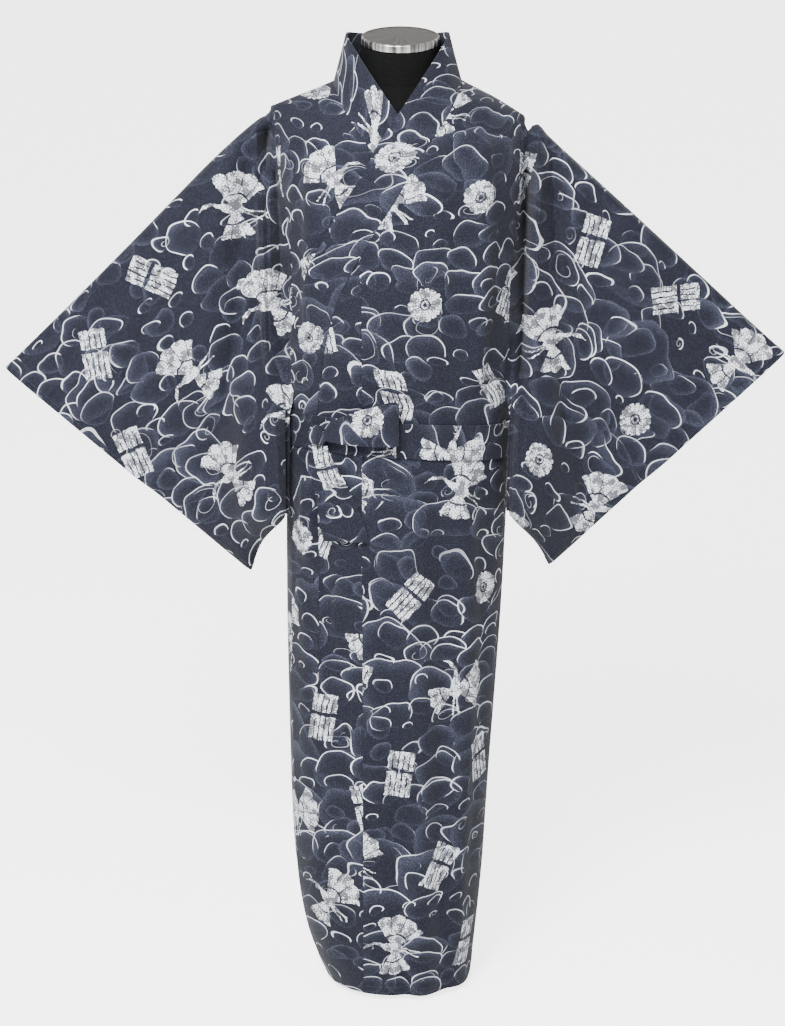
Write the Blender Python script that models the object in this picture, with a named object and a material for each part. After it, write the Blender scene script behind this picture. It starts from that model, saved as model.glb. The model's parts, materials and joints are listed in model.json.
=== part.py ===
"""Cotton yukata robe, left front over right, tied with its own sash, on a limbless dress form.

Metres, +Z up. The front faces -Y and the wearer's left is +X. The origin is on the floor, in the
middle of the stand's foot. Every cloth piece is a thin closed wall laid on one torso surface.
"""

import bisect
import math
from collections import namedtuple

import bmesh
import bpy
from mathutils import Matrix, Vector

# Driving sizes of the cloth
CLOTH = 0.0015
COLLAR_CLOTH = 0.0030
BELT_CLOTH = 0.0024
SEAM_GAP = 0.0003
UNDER_INSET = 0.0060
UNDER_EASE_ANGLE = 30.0
LEFT = 1
RIGHT = -1
FRONT = -1
BACK = 1

# Torso surface: level rings up to the chest, then a dome that closes on the shoulder line
SECTION_POWER = 2.3
DOME_POWER = 2.2
CHEST_HEIGHT = 1.226
UNDERARM_HEIGHT = 0.965
ARMHOLE_FULL_HEIGHT = 1.060
ARMHOLE_ACROSS = 0.955
SIDE_ANGLE = 90.0

Section = namedtuple("Section", "height right_reach left_reach front_depth back_depth")
SECTIONS = [
    Section(0.010, 0.119, 0.113, 0.120, 0.130),
    Section(0.075, 0.144, 0.120, 0.124, 0.129),
    Section(0.200, 0.170, 0.131, 0.127, 0.127),
    Section(0.330, 0.176, 0.138, 0.127, 0.124),
    Section(0.500, 0.179, 0.149, 0.127, 0.122),
    Section(0.640, 0.180, 0.157, 0.127, 0.120),
    Section(0.800, 0.179, 0.163, 0.124, 0.116),
    Section(0.900, 0.177, 0.165, 0.119, 0.110),
    Section(1.000, 0.175, 0.167, 0.122, 0.111),
    Section(1.120, 0.175, 0.171, 0.126, 0.113),
    Section(1.226, 0.178, 0.178, 0.124, 0.116),
    Section(1.300, 0.188, 0.183, 0.124, 0.116),
    Section(1.400, 0.193, 0.185, 0.124, 0.116),
]

ShoulderPoint = namedtuple("ShoulderPoint", "x height")
SHOULDER_LINE = [
    ShoulderPoint(-0.215, 1.380),
    ShoulderPoint(-0.150, 1.4045),
    ShoulderPoint(-0.095, 1.4265),
    ShoulderPoint(-0.045, 1.4520),
    ShoulderPoint(0.000, 1.4700),
    ShoulderPoint(0.045, 1.4520),
    ShoulderPoint(0.090, 1.4265),
    ShoulderPoint(0.140, 1.4010),
    ShoulderPoint(0.200, 1.3640),
]

# The collar, one row for each station from the side of the neck down. The outward distances are
# from the middle of the robe, negative past it, and lies is 0 where it stands and 1 on the body.
CollarStation = namedtuple(
    "CollarStation", "seam_out seam_height free_out free_height free_y lies"
)
COLLAR_STATIONS = [
    CollarStation(0.0920, 1.4310, 0.0745, 1.4960, -0.004, 0.0),
    CollarStation(0.0860, 1.4120, 0.0600, 1.4740, -0.042, 0.0),
    CollarStation(0.0740, 1.3900, 0.0330, 1.4370, -0.076, 0.0),
    CollarStation(0.0450, 1.3500, -0.0030, 1.3870, -0.102, 0.6),
    CollarStation(0.0220, 1.3180, -0.0300, 1.3480, -0.112, 1.0),
    CollarStation(0.0010, 1.2800, -0.0500, 1.3100, -0.117, 1.0),
    CollarStation(-0.0350, 1.2260, -0.0870, 1.2560, -0.112, 1.0),
    CollarStation(-0.0565, 1.1900, -0.1070, 1.2190, -0.105, 1.0),
    CollarStation(-0.0850, 1.1300, -0.1340, 1.1550, -0.083, 1.0),
    CollarStation(-0.1020, 1.0750, -0.1490, 1.0900, -0.065, 1.0),
    CollarStation(-0.1130, 1.0020, -0.1570, 1.0100, -0.050, 1.0),
    CollarStation(-0.1180, 0.9260, -0.1595, 0.9300, -0.045, 1.0),
    CollarStation(-0.1190, 0.8500, -0.1595, 0.8500, -0.045, 1.0),
    CollarStation(-0.1130, 0.7000, -0.1530, 0.7000, -0.050, 1.0),
    CollarStation(-0.1090, 0.5400, -0.1510, 0.5400, -0.055, 1.0),
]
COLLAR_RISING = COLLAR_STATIONS[::-1]
COLLAR_END = 0.540

# The collar behind the neck, from the side of the neck to the middle of the back
NeckStation = namedtuple("NeckStation", "seam_out seam_height free_out free_y free_height")
NECK_STATIONS = [
    NeckStation(0.0660, 1.4310, 0.0560, 0.036, 1.4920),
    NeckStation(0.0330, 1.4320, 0.0300, 0.058, 1.4880),
    NeckStation(0.0000, 1.4320, 0.0000, 0.066, 1.4870),
]
COLLAR_COLUMNS = 4
COLLAR_LIFT = 0.0021

# Level rows of the body panels, hem to chest, and the rows over the shoulder
OKUMI_TOP = 1.190
OKUMI_TIP_HEIGHT = 1.187
OKUMI_COLUMNS = 6
OKUMI_SPLIT = 3
BODY_COLUMNS = 9
BODY_ROWS = [
    0.010, 0.045, 0.085, 0.140, 0.200, 0.280, 0.370, 0.460, 0.540, 0.620, 0.700,
    0.785, 0.850, 0.890, 0.926, 0.965, 1.012, 1.075, 1.130, 1.190, 1.226,
]
SHOULDER_ROWS = 6
BACK_NECK_ROWS = 3
HEM_DIP = 0.006

# Sleeves: where the cuff's corners lie, and the folds beside the armhole
CuffCorner = namedtuple("CuffCorner", "x height")
Cuff = namedtuple("Cuff", "top bottom")
CUFFS = {
    RIGHT: Cuff(CuffCorner(-0.594, 0.997), CuffCorner(-0.230, 0.677)),
    LEFT: Cuff(CuffCorner(0.578, 1.020), CuffCorner(0.230, 0.686)),
}
SleeveStation = namedtuple("SleeveStation", "reach lift front back fold")
SLEEVE_STATIONS = {
    RIGHT: [
        SleeveStation(0.0100, -0.003, -0.032, 0.036, 0.008),
        SleeveStation(0.0190, -0.004, -0.032, 0.035, 0.014),
        SleeveStation(0.0280, 0.000, -0.034, 0.034, 0.004),
        SleeveStation(0.0380, 0.002, -0.034, 0.034, -0.001),
        SleeveStation(0.0520, 0.004, -0.034, 0.033, 0.012),
        SleeveStation(0.0760, 0.006, -0.034, 0.032, 0.002),
        SleeveStation(0.1300, 0.008, -0.036, 0.029, -0.004),
        SleeveStation(0.2100, 0.006, -0.036, 0.024, 0.000),
        SleeveStation(0.3000, 0.003, -0.034, 0.018, 0.003),
        SleeveStation(0.3900, 0.001, -0.031, 0.012, 0.000),
        SleeveStation(0.4800, 0.000, -0.028, 0.006, -0.002),
        SleeveStation(1.0000, 0.000, -0.026, 0.000, 0.000),
    ],
    LEFT: [
        SleeveStation(0.0090, -0.010, -0.032, 0.034, 0.008),
        SleeveStation(0.0170, -0.016, -0.030, 0.034, 0.015),
        SleeveStation(0.0260, -0.002, -0.032, 0.034, 0.006),
        SleeveStation(0.0360, 0.007, -0.034, 0.034, -0.002),
        SleeveStation(0.0520, 0.004, -0.034, 0.033, 0.008),
        SleeveStation(0.0760, 0.003, -0.034, 0.032, 0.000),
        SleeveStation(0.1300, 0.003, -0.036, 0.029, -0.003),
        SleeveStation(0.2100, 0.003, -0.036, 0.024, 0.002),
        SleeveStation(0.3000, 0.002, -0.034, 0.018, -0.002),
        SleeveStation(0.3900, 0.001, -0.031, 0.012, 0.002),
        SleeveStation(0.4600, 0.000, -0.028, 0.006, 0.000),
        SleeveStation(1.0000, 0.000, -0.026, 0.000, 0.000),
    ],
}
SLEEVE_FREE_ROWS = [0.943, 0.905, 0.865, 0.825, 0.797, 0.785]
SLEEVE_FLATNESS = 5.0
SLEEVE_ROOT_GAP = 0.0008
SLEEVE_ROOT_RUN = 0.007
SEWN_HALF = 0.0014
SEWN_Y = 0.002
FOLD_FADE = 0.25
BOTTOM_SPREAD = 0.6
PINCH_LEVEL = 0.55
PINCH_RUN = 0.15
PINCH_REACH = 0.016
UNDERARM_CLEAR = 0.0035
BELT_CLEAR = 0.0115
BELT_CLEAR_DROP = 0.022
HAND_OPENING = 0.52
HAND_OPENING_EASE = 0.06
SEWN_CUFF = 0.0022

# The sash round the waist and its half bow
BELT_HEIGHT = 0.902
BELT_FRONT_RISE = 0.009
BELT_SIDE_DROP = 0.012
BELT_WIDTH = 0.053
BELT_INSET = -0.0033
BELT_SEGMENTS = 64
BELT_COLUMNS = 3
BowStation = namedtuple("BowStation", "x height half_width out")
LOOP_STATIONS = [
    BowStation(-0.1042, 0.921, 0.012, 0.0085),
    BowStation(-0.085, 0.926, 0.017, 0.0080),
    BowStation(-0.060, 0.932, 0.024, 0.0078),
    BowStation(-0.032, 0.937, 0.029, 0.0078),
    BowStation(-0.012, 0.940, 0.031, 0.0080),
    BowStation(-0.003, 0.940, 0.031, 0.0130),
    BowStation(-0.004, 0.940, 0.031, 0.0200),
    BowStation(-0.016, 0.940, 0.031, 0.0235),
    BowStation(-0.040, 0.938, 0.029, 0.0245),
    BowStation(-0.066, 0.934, 0.024, 0.0240),
    BowStation(-0.086, 0.929, 0.018, 0.0215),
    BowStation(-0.1042, 0.924, 0.012, 0.0160),
]
TAIL_STATIONS = [
    BowStation(-0.1160, 0.9003, 0.011, 0.0085),
    BowStation(-0.1130, 0.884, 0.014, 0.0105),
    BowStation(-0.1060, 0.862, 0.019, 0.0100),
    BowStation(-0.0960, 0.830, 0.024, 0.0070),
    BowStation(-0.0860, 0.795, 0.029, 0.0060),
    BowStation(-0.0765, 0.756, 0.032, 0.0065),
]
TAIL_COLUMNS = 4
LOOP_COLUMNS = 4
KNOT_CENTRE = (-0.1170, 0.9160)
KNOT_OUT = 0.0143
KNOT_HALF_SIZE = (0.0145, 0.0090, 0.0155)
KNOT_RINGS = 10
KNOT_SEGMENTS = 18
KNOT_PLEATS = 5
KNOT_PLEAT_DEPTH = 0.07

# Dress form and stand
FORM_EASE = 0.0100
FORM_SHOULDER_EASE = 0.0080
FORM_WALL = 0.0080
FORM_CEILING_ROW = 3
FORM_ROWS = [0.760, 0.840, 0.920, 1.000, 1.080, 1.160, 1.226]
FORM_SEGMENTS = 36
FORM_SHOULDER_ROWS = 6
NeckRing = namedtuple("NeckRing", "height radius y tilt")
NECK_RINGS = [
    NeckRing(1.3300, 0.0700, 0.008, 0.0),
    NeckRing(1.3900, 0.0680, 0.006, 2.0),
    NeckRing(1.4150, 0.0650, 0.003, 3.5),
    NeckRing(1.4400, 0.0610, -0.001, 5.0),
    NeckRing(1.4620, 0.0578, -0.005, 6.5),
    NeckRing(1.4815, 0.0565, -0.008, 7.6),
]
NECK_SEGMENTS = 36
CAP_RADIUS = 0.0577
CAP_THICKNESS = 0.0120
CAP_EDGE = 0.0018
CAP_SEGMENTS = 48
BASE_RADIUS = 0.098
BASE_THICKNESS = 0.012
BASE_EDGE = 0.003
BASE_SEGMENTS = 36
BOSS_RADIUS = 0.024
BOSS_HEIGHT = 0.034
POLE_RADIUS = 0.0125
POLE_SEGMENTS = 24

Finish = namedtuple("Finish", "colour roughness metallic")
YUKATA_COTTON = Finish((0.022, 0.028, 0.055), 0.85, 0.0)
BLACK_COVER = Finish((0.012, 0.013, 0.014), 0.9, 0.0)
SATIN_STEEL = Finish((0.62, 0.59, 0.55), 0.32, 1.0)
BLACK_ENAMEL = Finish((0.03, 0.03, 0.032), 0.4, 0.0)


def mix(start, end, share):
    """Value or vector at a share of the way from start to end."""
    return start + (end - start) * share


def ease(share):
    """Smooth step from 0 to 1."""
    share = min(max(share, 0.0), 1.0)
    return share * share * (3.0 - 2.0 * share)


def read_table(rows, column, place, key=None):
    """Smooth value of a table's column at a place in its key column, by cubic Hermite arcs."""
    keys = [getattr(row, key) if key else row[0] for row in rows]
    values = [getattr(row, column) for row in rows]
    last = len(keys) - 1
    if place <= keys[0]:
        return values[0]
    if place >= keys[last]:
        return values[last]
    low = bisect.bisect_right(keys, place) - 1

    def slope(index):
        before = max(index - 1, 0)
        after = min(index + 1, last)
        return (values[after] - values[before]) / (keys[after] - keys[before])

    span = keys[low + 1] - keys[low]
    share = (place - keys[low]) / span
    square = share * share
    cube = square * share
    start = values[low] * (2.0 * cube - 3.0 * square + 1.0)
    end = values[low + 1] * (3.0 * square - 2.0 * cube)
    leave = slope(low) * span * (cube - 2.0 * square + share)
    reach = slope(low + 1) * span * (cube - square)
    return start + end + leave + reach


def middle(height):
    """x of the robe's middle at a height."""
    left = read_table(SECTIONS, "left_reach", height)
    right = read_table(SECTIONS, "right_reach", height)
    return (left - right) / 2.0


def half_width(height):
    """Half the robe's width at a height."""
    left = read_table(SECTIONS, "left_reach", height)
    right = read_table(SECTIONS, "right_reach", height)
    return (left + right) / 2.0


def depth(height, face):
    """How far the front or the back stands from the side seams at a height."""
    column = "front_depth" if face == FRONT else "back_depth"
    return read_table(SECTIONS, column, height)


def shoulder(x):
    """Height of the shoulder line at x."""
    return read_table(SHOULDER_LINE, "height", x)


def ring_point(height, angle, inset=0.0):
    """Point on a level ring. Angle 0 is the front middle, 90 the left side and 180 the back."""
    sine = math.sin(math.radians(angle))
    cosine = math.cos(math.radians(angle))
    face = FRONT if cosine > 0.0 else BACK
    power = 2.0 / SECTION_POWER
    x = middle(height) + math.copysign(abs(sine) ** power, sine) * (half_width(height) - inset)
    y = face * abs(cosine) ** power * (depth(height, face) - inset)
    return Vector((x, y, height))


def front_angle(height, x, inset=0.0):
    """Ring angle, measured on the front, of a point at x."""
    across = (x - middle(height)) / (half_width(height) - inset)
    sine = math.copysign(min(abs(across), 1.0) ** (SECTION_POWER / 2.0), across)
    return math.degrees(math.asin(sine))


def dome_point(x, lift, face, inset=0.0):
    """Point above the chest. Lift is 0 at the chest and 90 degrees on the shoulder line."""
    power = 2.0 / DOME_POWER
    rise = shoulder(x) - inset - CHEST_HEIGHT
    height = CHEST_HEIGHT + rise * math.sin(math.radians(lift)) ** power
    across = min(abs(x - middle(height)) / (half_width(height) - inset), 1.0)
    fullness = (1.0 - across**SECTION_POWER) ** (1.0 / SECTION_POWER)
    fall = max(math.cos(math.radians(lift)), 0.0) ** power
    return Vector((x, face * (depth(height, face) - inset) * fullness * fall, height))


def dome_lift(x, height):
    """Lift of the dome point at x and a height."""
    share = (height - CHEST_HEIGHT) / (shoulder(x) - CHEST_HEIGHT)
    share = min(max(share, 0.0), 1.0)
    return math.degrees(math.asin(share ** (DOME_POWER / 2.0)))


def torso_point(x, height, face, inset=0.0):
    """Point of the torso surface at x and a height."""
    if height > CHEST_HEIGHT:
        return dome_point(x, dome_lift(x, height), face, inset)
    angle = front_angle(height, x, inset)
    return ring_point(height, angle if face == FRONT else 180.0 - angle, inset)


def under_inset(angle, side):
    """Inset of a panel: the right front lies under the left, and its back eases out to 0."""
    if side == LEFT:
        return 0.0
    return UNDER_INSET * ease((SIDE_ANGLE + UNDER_EASE_ANGLE - abs(angle)) / UNDER_EASE_ANGLE)


def make_wall(name, outer, inner, closed_rows, finish, absent=()):
    """Closed wall between two grids of points. closed_rows joins the last row to the first."""
    mesh = bpy.data.meshes.new(name)
    builder = bmesh.new()
    rows = len(outer)
    columns = len(outer[0])
    steps = rows if closed_rows else rows - 1
    cells = {(row, column) for row in range(steps) for column in range(columns - 1)}
    cells -= set(absent)
    corners = {}

    def corner(skin, row, column):
        place = (skin, row % rows, column)
        if place not in corners:
            grid = outer if skin == 0 else inner
            corners[place] = builder.verts.new(grid[row % rows][column])
        return corners[place]

    for row, column in sorted(cells):
        ring = [(row, column), (row, column + 1), (row + 1, column + 1), (row + 1, column)]
        builder.faces.new([corner(0, *place) for place in ring])
        builder.faces.new([corner(1, *place) for place in reversed(ring)])
        below = (row - 1) % rows if closed_rows else row - 1
        above = (row + 1) % rows if closed_rows else row + 1
        beyond = [(below, column), (row, column + 1), (above, column), (row, column - 1)]
        for index, cell in enumerate(beyond):
            if cell in cells:
                continue
            start = ring[index]
            end = ring[(index + 1) % len(ring)]
            rim = [corner(0, *end), corner(0, *start), corner(1, *start), corner(1, *end)]
            builder.faces.new(rim)
    return finish_object(name, mesh, builder, finish)


def finish_object(name, mesh, builder, finish):
    """Turn the faces outwards, store the mesh, and give the object its own material."""
    bmesh.ops.recalc_face_normals(builder, faces=builder.faces)
    if builder.calc_volume(signed=True) < 0.0:
        bmesh.ops.reverse_faces(builder, faces=builder.faces)
    bmesh.ops.triangulate(builder, faces=builder.faces)
    builder.to_mesh(mesh)
    builder.free()
    mesh.shade_smooth()
    mesh.set_sharp_from_angle(angle=math.radians(50.0))
    piece = bpy.data.objects.new(name, mesh)
    bpy.context.scene.collection.objects.link(piece)
    material = bpy.data.materials.new(name)
    material.use_nodes = True
    shader = material.node_tree.nodes["Principled BSDF"]
    shader.inputs["Base Color"].default_value = (*finish.colour, 1.0)
    shader.inputs["Roughness"].default_value = finish.roughness
    shader.inputs["Metallic"].default_value = finish.metallic
    mesh.materials.append(material)
    return piece


def grid_normals(grid, closed_rows):
    """Unit normals of a grid of points, from the neighbours of each."""
    rows = len(grid)
    columns = len(grid[0])
    normals = []
    for row in range(rows):
        line = []
        for column in range(columns):
            if closed_rows:
                before = grid[(row - 1) % rows][column]
                after = grid[(row + 1) % rows][column]
            else:
                before = grid[max(row - 1, 0)][column]
                after = grid[min(row + 1, rows - 1)][column]
            back = grid[row][max(column - 1, 0)]
            ahead = grid[row][min(column + 1, columns - 1)]
            line.append((after - before).cross(ahead - back).normalized())
        normals.append(line)
    return normals


def make_sheet(name, grid, thickness, closed_rows, finish):
    """Closed wall of even thickness about a grid of points."""
    normals = grid_normals(grid, closed_rows)
    half = thickness / 2.0
    outer = [[p + n * half for p, n in zip(*pair)] for pair in zip(grid, normals)]
    inner = [[p - n * half for p, n in zip(*pair)] for pair in zip(grid, normals)]
    return make_wall(name, outer, inner, closed_rows, finish)


def collar_station(height):
    """The collar's station whose seam is at a height."""
    values = [read_table(COLLAR_RISING, name, height, "seam_height") for name in CollarStation._fields]
    return CollarStation(*values)


def collar_seam(station, side):
    """x and height of the collar's seam at a station of the front."""
    return middle(station.seam_height) + side * station.seam_out, station.seam_height


def front_stations():
    """Collar stations on the level rows of the body, lowest first."""
    return [collar_station(height) for height in BODY_ROWS if height >= COLLAR_END]


def shoulder_stations():
    """Collar stations above the chest, up to the side of the neck."""
    return [s for s in COLLAR_RISING if s.seam_height > CHEST_HEIGHT]


def seam_x_at(height, side):
    """x of the collar's seam at a height."""
    return collar_seam(collar_station(height), side)[0]


def okumi_seam_x(side):
    """x of the seam between a body panel and its overlap panel."""
    return seam_x_at(OKUMI_TOP, side)


def panel_front_edge(height, side):
    """x of a body panel's front edge, at the overlap panel's seam or at the collar above it."""
    edge = seam_x_at(height, side) if height > OKUMI_TOP else okumi_seam_x(side)
    return edge + side * SEAM_GAP / 2.0


def armhole_across(height):
    """Share of the half width where a panel's side edge runs: 1 below the arm, less beside it."""
    opened = (height - UNDERARM_HEIGHT) / (ARMHOLE_FULL_HEIGHT - UNDERARM_HEIGHT)
    return mix(1.0, ARMHOLE_ACROSS, ease(opened))


def side_edge_angle(height, face):
    """Ring angle of a panel's side edge, for the left side."""
    angle = math.degrees(math.asin(armhole_across(height) ** (SECTION_POWER / 2.0)))
    gap_angle = math.degrees(SEAM_GAP / 2.0 / half_width(height))
    angle = min(angle, SIDE_ANGLE - gap_angle)
    return angle if face == FRONT else 180.0 - angle


def hem_height(height, angle):
    """The lowest row dips a little at the front middle and rises to the sides."""
    if height > BODY_ROWS[0]:
        return height
    return height + HEM_DIP * (1.0 - math.cos(math.radians(angle))) / 2.0


def ring_row(height, start, end, columns, side, offset):
    """Row of a front or back panel between two ring angles of the left side, mirrored for right."""
    row = []
    for column in range(columns + 1):
        angle = mix(start, end, column / columns)
        place = hem_height(height, angle)
        row.append(ring_point(place, side * angle, under_inset(angle, side) - offset))
    return row


def dome_row(side_lift, edge_x, edge_lift, face, side, offset):
    """Row over the shoulder, from the armhole to the neck."""
    rise = shoulder(side * half_width(CHEST_HEIGHT)) - CHEST_HEIGHT
    height = CHEST_HEIGHT + rise * math.sin(math.radians(side_lift)) ** (2.0 / DOME_POWER)
    side_x = middle(height) + side * ARMHOLE_ACROSS * half_width(height)
    row = []
    for column in range(BODY_COLUMNS + 1):
        share = column / BODY_COLUMNS
        x = mix(side_x, edge_x, share)
        lift = mix(side_lift, edge_lift, share)
        angle = abs(front_angle(CHEST_HEIGHT, x))
        covered = under_inset(angle if face == FRONT else 180.0 - angle, side)
        row.append(dome_point(x, lift, face, covered * (1.0 - lift / 90.0) - offset))
    return row


def body_grid(side, offset):
    """Points of one body panel, front hem over the shoulder to back hem."""
    rows = []
    for height in BODY_ROWS:
        start = side_edge_angle(height, FRONT)
        edge = panel_front_edge(height, side)
        end = side * front_angle(height, edge, under_inset(0.0, side))
        rows.append(ring_row(height, start, end, BODY_COLUMNS, side, offset))
    stations = shoulder_stations()
    for index, station in enumerate(stations):
        side_lift = 90.0 * (index + 1) / SHOULDER_ROWS
        x, height = collar_seam(station, side)
        edge_lift = 90.0 if index == SHOULDER_ROWS - 1 else dome_lift(x, height)
        x += side * SEAM_GAP / 2.0
        rows.append(dome_row(side_lift, x, edge_lift, FRONT, side, offset))
    for index in range(SHOULDER_ROWS - 1, 0, -1):
        side_lift = 90.0 * index / SHOULDER_ROWS
        behind = SHOULDER_ROWS - 1 - index
        if behind < BACK_NECK_ROWS:
            station = NECK_STATIONS[behind]
            height = station.seam_height - SEAM_GAP
            x = middle(height) + side * max(station.seam_out, SEAM_GAP / 2.0)
        else:
            share = index / (SHOULDER_ROWS - BACK_NECK_ROWS)
            height = mix(CHEST_HEIGHT, NECK_STATIONS[-1].seam_height, share)
            x = middle(height) + side * SEAM_GAP / 2.0
        rows.append(dome_row(side_lift, x, dome_lift(x, height), BACK, side, offset))
    for height in reversed(BODY_ROWS):
        start = side_edge_angle(height, BACK)
        end = 180.0 - math.degrees(SEAM_GAP / 2.0 / half_width(height))
        rows.append(ring_row(height, start, end, BODY_COLUMNS, side, offset))
    return rows


def make_body(name, side):
    """Body panel of one side."""
    outer = body_grid(side, CLOTH / 2.0)
    inner = body_grid(side, -CLOTH / 2.0)
    grid = body_grid(side, 0.0)
    first = len(BODY_ROWS)
    for row, normals in enumerate(grid_normals(grid, False)):
        if first <= row < len(grid) - first:
            outer[row] = [p + n * side * CLOTH / 2.0 for p, n in zip(grid[row], normals)]
            inner[row] = [p - n * side * CLOTH / 2.0 for p, n in zip(grid[row], normals)]
    return make_wall(name, outer, inner, False, YUKATA_COTTON)


def ring_walk(height, start, distance, direction):
    """Ring angle reached by walking a distance along a ring from a start angle."""
    step = 0.5
    angle = start
    here = ring_point(height, angle)
    left = distance
    while left > 0.0:
        angle += direction * step
        there = ring_point(height, angle)
        left -= (there - here).length
        here = there
    return angle


def ring_length(height, start, end):
    """Length along a ring between two angles."""
    steps = 60
    points = [ring_point(height, mix(start, end, i / steps)) for i in range(steps + 1)]
    return sum((b - a).length for a, b in zip(points, points[1:]))


def okumi_rows(side):
    """Heights of an overlap panel's rows, hem to tip."""
    lower = [height for height in BODY_ROWS if height < COLLAR_END]
    upper = [height for height in BODY_ROWS if COLLAR_END < height < OKUMI_TIP_HEIGHT]
    return lower + [COLLAR_END - 2.0 * SEAM_GAP] + upper + [OKUMI_TIP_HEIGHT]


def okumi_grid(side, offset):
    """Points of an overlap panel: to the collar's seam, and past it to the front edge below."""
    collar_end = collar_station(COLLAR_END)
    covered = under_inset(0.0, side)
    inner_x = okumi_seam_x(side) - side * SEAM_GAP / 2.0
    free_x = middle(COLLAR_END) + side * collar_end.free_out
    split_x = seam_x_at(COLLAR_END, side) + side * SEAM_GAP / 2.0
    across = [front_angle(COLLAR_END, x) for x in (inner_x, split_x, free_x)]
    widths = [ring_length(COLLAR_END, across[0], angle) for angle in across]
    rows = []
    for height in okumi_rows(side):
        start = front_angle(height, inner_x, covered)
        if height < COLLAR_END:
            split = ring_walk(height, start, widths[1], -side)
            free = ring_walk(height, start, widths[2], -side)
        else:
            split = front_angle(height, seam_x_at(height, side) + side * SEAM_GAP / 2.0, covered)
            free = split
        row = []
        for column in range(OKUMI_COLUMNS + 1):
            if column <= OKUMI_SPLIT:
                angle = mix(start, split, column / OKUMI_SPLIT)
            else:
                share = (column - OKUMI_SPLIT) / (OKUMI_COLUMNS - OKUMI_SPLIT)
                angle = mix(split, free, share)
            place = hem_height(height, angle)
            row.append(ring_point(place, angle, covered - offset))
        rows.append(row)
    return rows


def make_okumi(name, side):
    """Overlap panel of one side."""
    outer = okumi_grid(side, CLOTH / 2.0)
    inner = okumi_grid(side, -CLOTH / 2.0)
    heights = okumi_rows(side)
    top = len(heights) - 1
    first = sum(1 for height in heights if height < COLLAR_END) - 1
    past = range(OKUMI_SPLIT, OKUMI_COLUMNS)
    absent = [(row, column) for row in range(first, top) for column in past]
    return make_wall(name, outer, inner, False, YUKATA_COTTON, absent)


def surface_normal(x, height, face):
    """Outward normal of the torso surface at x and a height."""
    step = 0.002
    height = min(height, shoulder(x) - step)
    here = torso_point(x, height, face)
    across = torso_point(x + step, height, face) - here
    up = here - torso_point(x, height - step, face)
    return across.cross(up).normalized()


def lift_off(row, normal):
    """Move a collar row's first point off the body's edge, more where it stands up from it."""
    along = (row[1] - row[0]).normalized()
    sine = abs(along.dot(normal))
    cosine = math.sqrt(max(1.0 - sine * sine, 0.0))
    row[0] = row[0] + along * (COLLAR_LIFT * sine + SEAM_GAP * cosine)
    return row


def collar_front_row(station, side):
    """Seam-to-edge row of the collar at one front station."""
    seam_x, seam_height = collar_seam(station, side)
    free_x = middle(station.free_height) + side * station.free_out
    covered = under_inset(0.0, side)
    above = seam_height > CHEST_HEIGHT
    lift = dome_lift(seam_x, seam_height) if above else 0.0
    sunk = covered * (1.0 - lift / 90.0)
    seam = torso_point(seam_x, seam_height, FRONT, sunk)
    free = Vector((free_x, station.free_y + covered * ease(2.0 * station.lies), station.free_height))
    row = []
    for column in range(COLLAR_COLUMNS + 1):
        share = column / COLLAR_COLUMNS
        point = mix(seam, free, share)
        if station.lies > 0.0:
            laid = torso_point(point.x, point.z, FRONT, mix(sunk, covered, share))
            point.y = mix(point.y, laid.y, station.lies)
        row.append(point)
    return lift_off(row, surface_normal(seam_x, seam_height, FRONT))


def collar_back_row(station, side):
    """Seam-to-edge row of the collar behind the neck."""
    seam_x = middle(station.seam_height) + side * station.seam_out
    seam = torso_point(seam_x, station.seam_height, BACK)
    free_x = middle(station.free_height) + side * station.free_out
    free = Vector((free_x, station.free_y, station.free_height))
    row = [mix(seam, free, column / COLLAR_COLUMNS) for column in range(COLLAR_COLUMNS + 1)]
    return lift_off(row, surface_normal(seam_x, station.seam_height, BACK))


def make_collar():
    """Collar band from the outer front edge, round the neck, to the under front edge."""
    rising = front_stations() + shoulder_stations()
    grid = [collar_front_row(station, LEFT) for station in rising]
    grid += [collar_back_row(station, LEFT) for station in NECK_STATIONS]
    grid += [collar_back_row(station, RIGHT) for station in reversed(NECK_STATIONS[:-1])]
    grid += [collar_front_row(station, RIGHT) for station in reversed(rising)]
    return make_sheet("collar", grid, COLLAR_CLOTH, False, YUKATA_COTTON)


def armhole_edges(side):
    """Edge points of the armhole and their neighbours on the panel, front bottom to back bottom."""
    grid = body_grid(side, 0.0)
    first = BODY_ROWS.index(UNDERARM_HEIGHT)
    last = len(grid) - 1 - first
    rows = grid[first : last + 1]
    return [(row[0], row[1]) for row in rows]


def sleeve_root(side, edges, face):
    """Root points of one face of a sleeve, top to bottom, and the way each leaves the body."""
    roots = []
    for edge, inside in edges[:-1]:
        way = (edge - inside).normalized()
        roots.append((edge + way * SLEEVE_ROOT_GAP, way))
    for height in [UNDERARM_HEIGHT] + SLEEVE_FREE_ROWS:
        drop = (UNDERARM_HEIGHT - height) / BELT_CLEAR_DROP
        clear = mix(UNDERARM_CLEAR, BELT_CLEAR, ease(drop))
        x = middle(height) + side * (half_width(height) + clear)
        y = SEWN_Y * ease(drop) + face * SEWN_HALF
        roots.append((Vector((x, y, height)), Vector((side, 0.0, 0.0))))
    return roots


def sleeve_profile(level):
    """Fullness of a sleeve from its top fold, level 0, to its bottom seam, level 1."""
    return (1.0 - abs(2.0 * level - 1.0) ** SLEEVE_FLATNESS) ** (1.0 / SLEEVE_FLATNESS)


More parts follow.
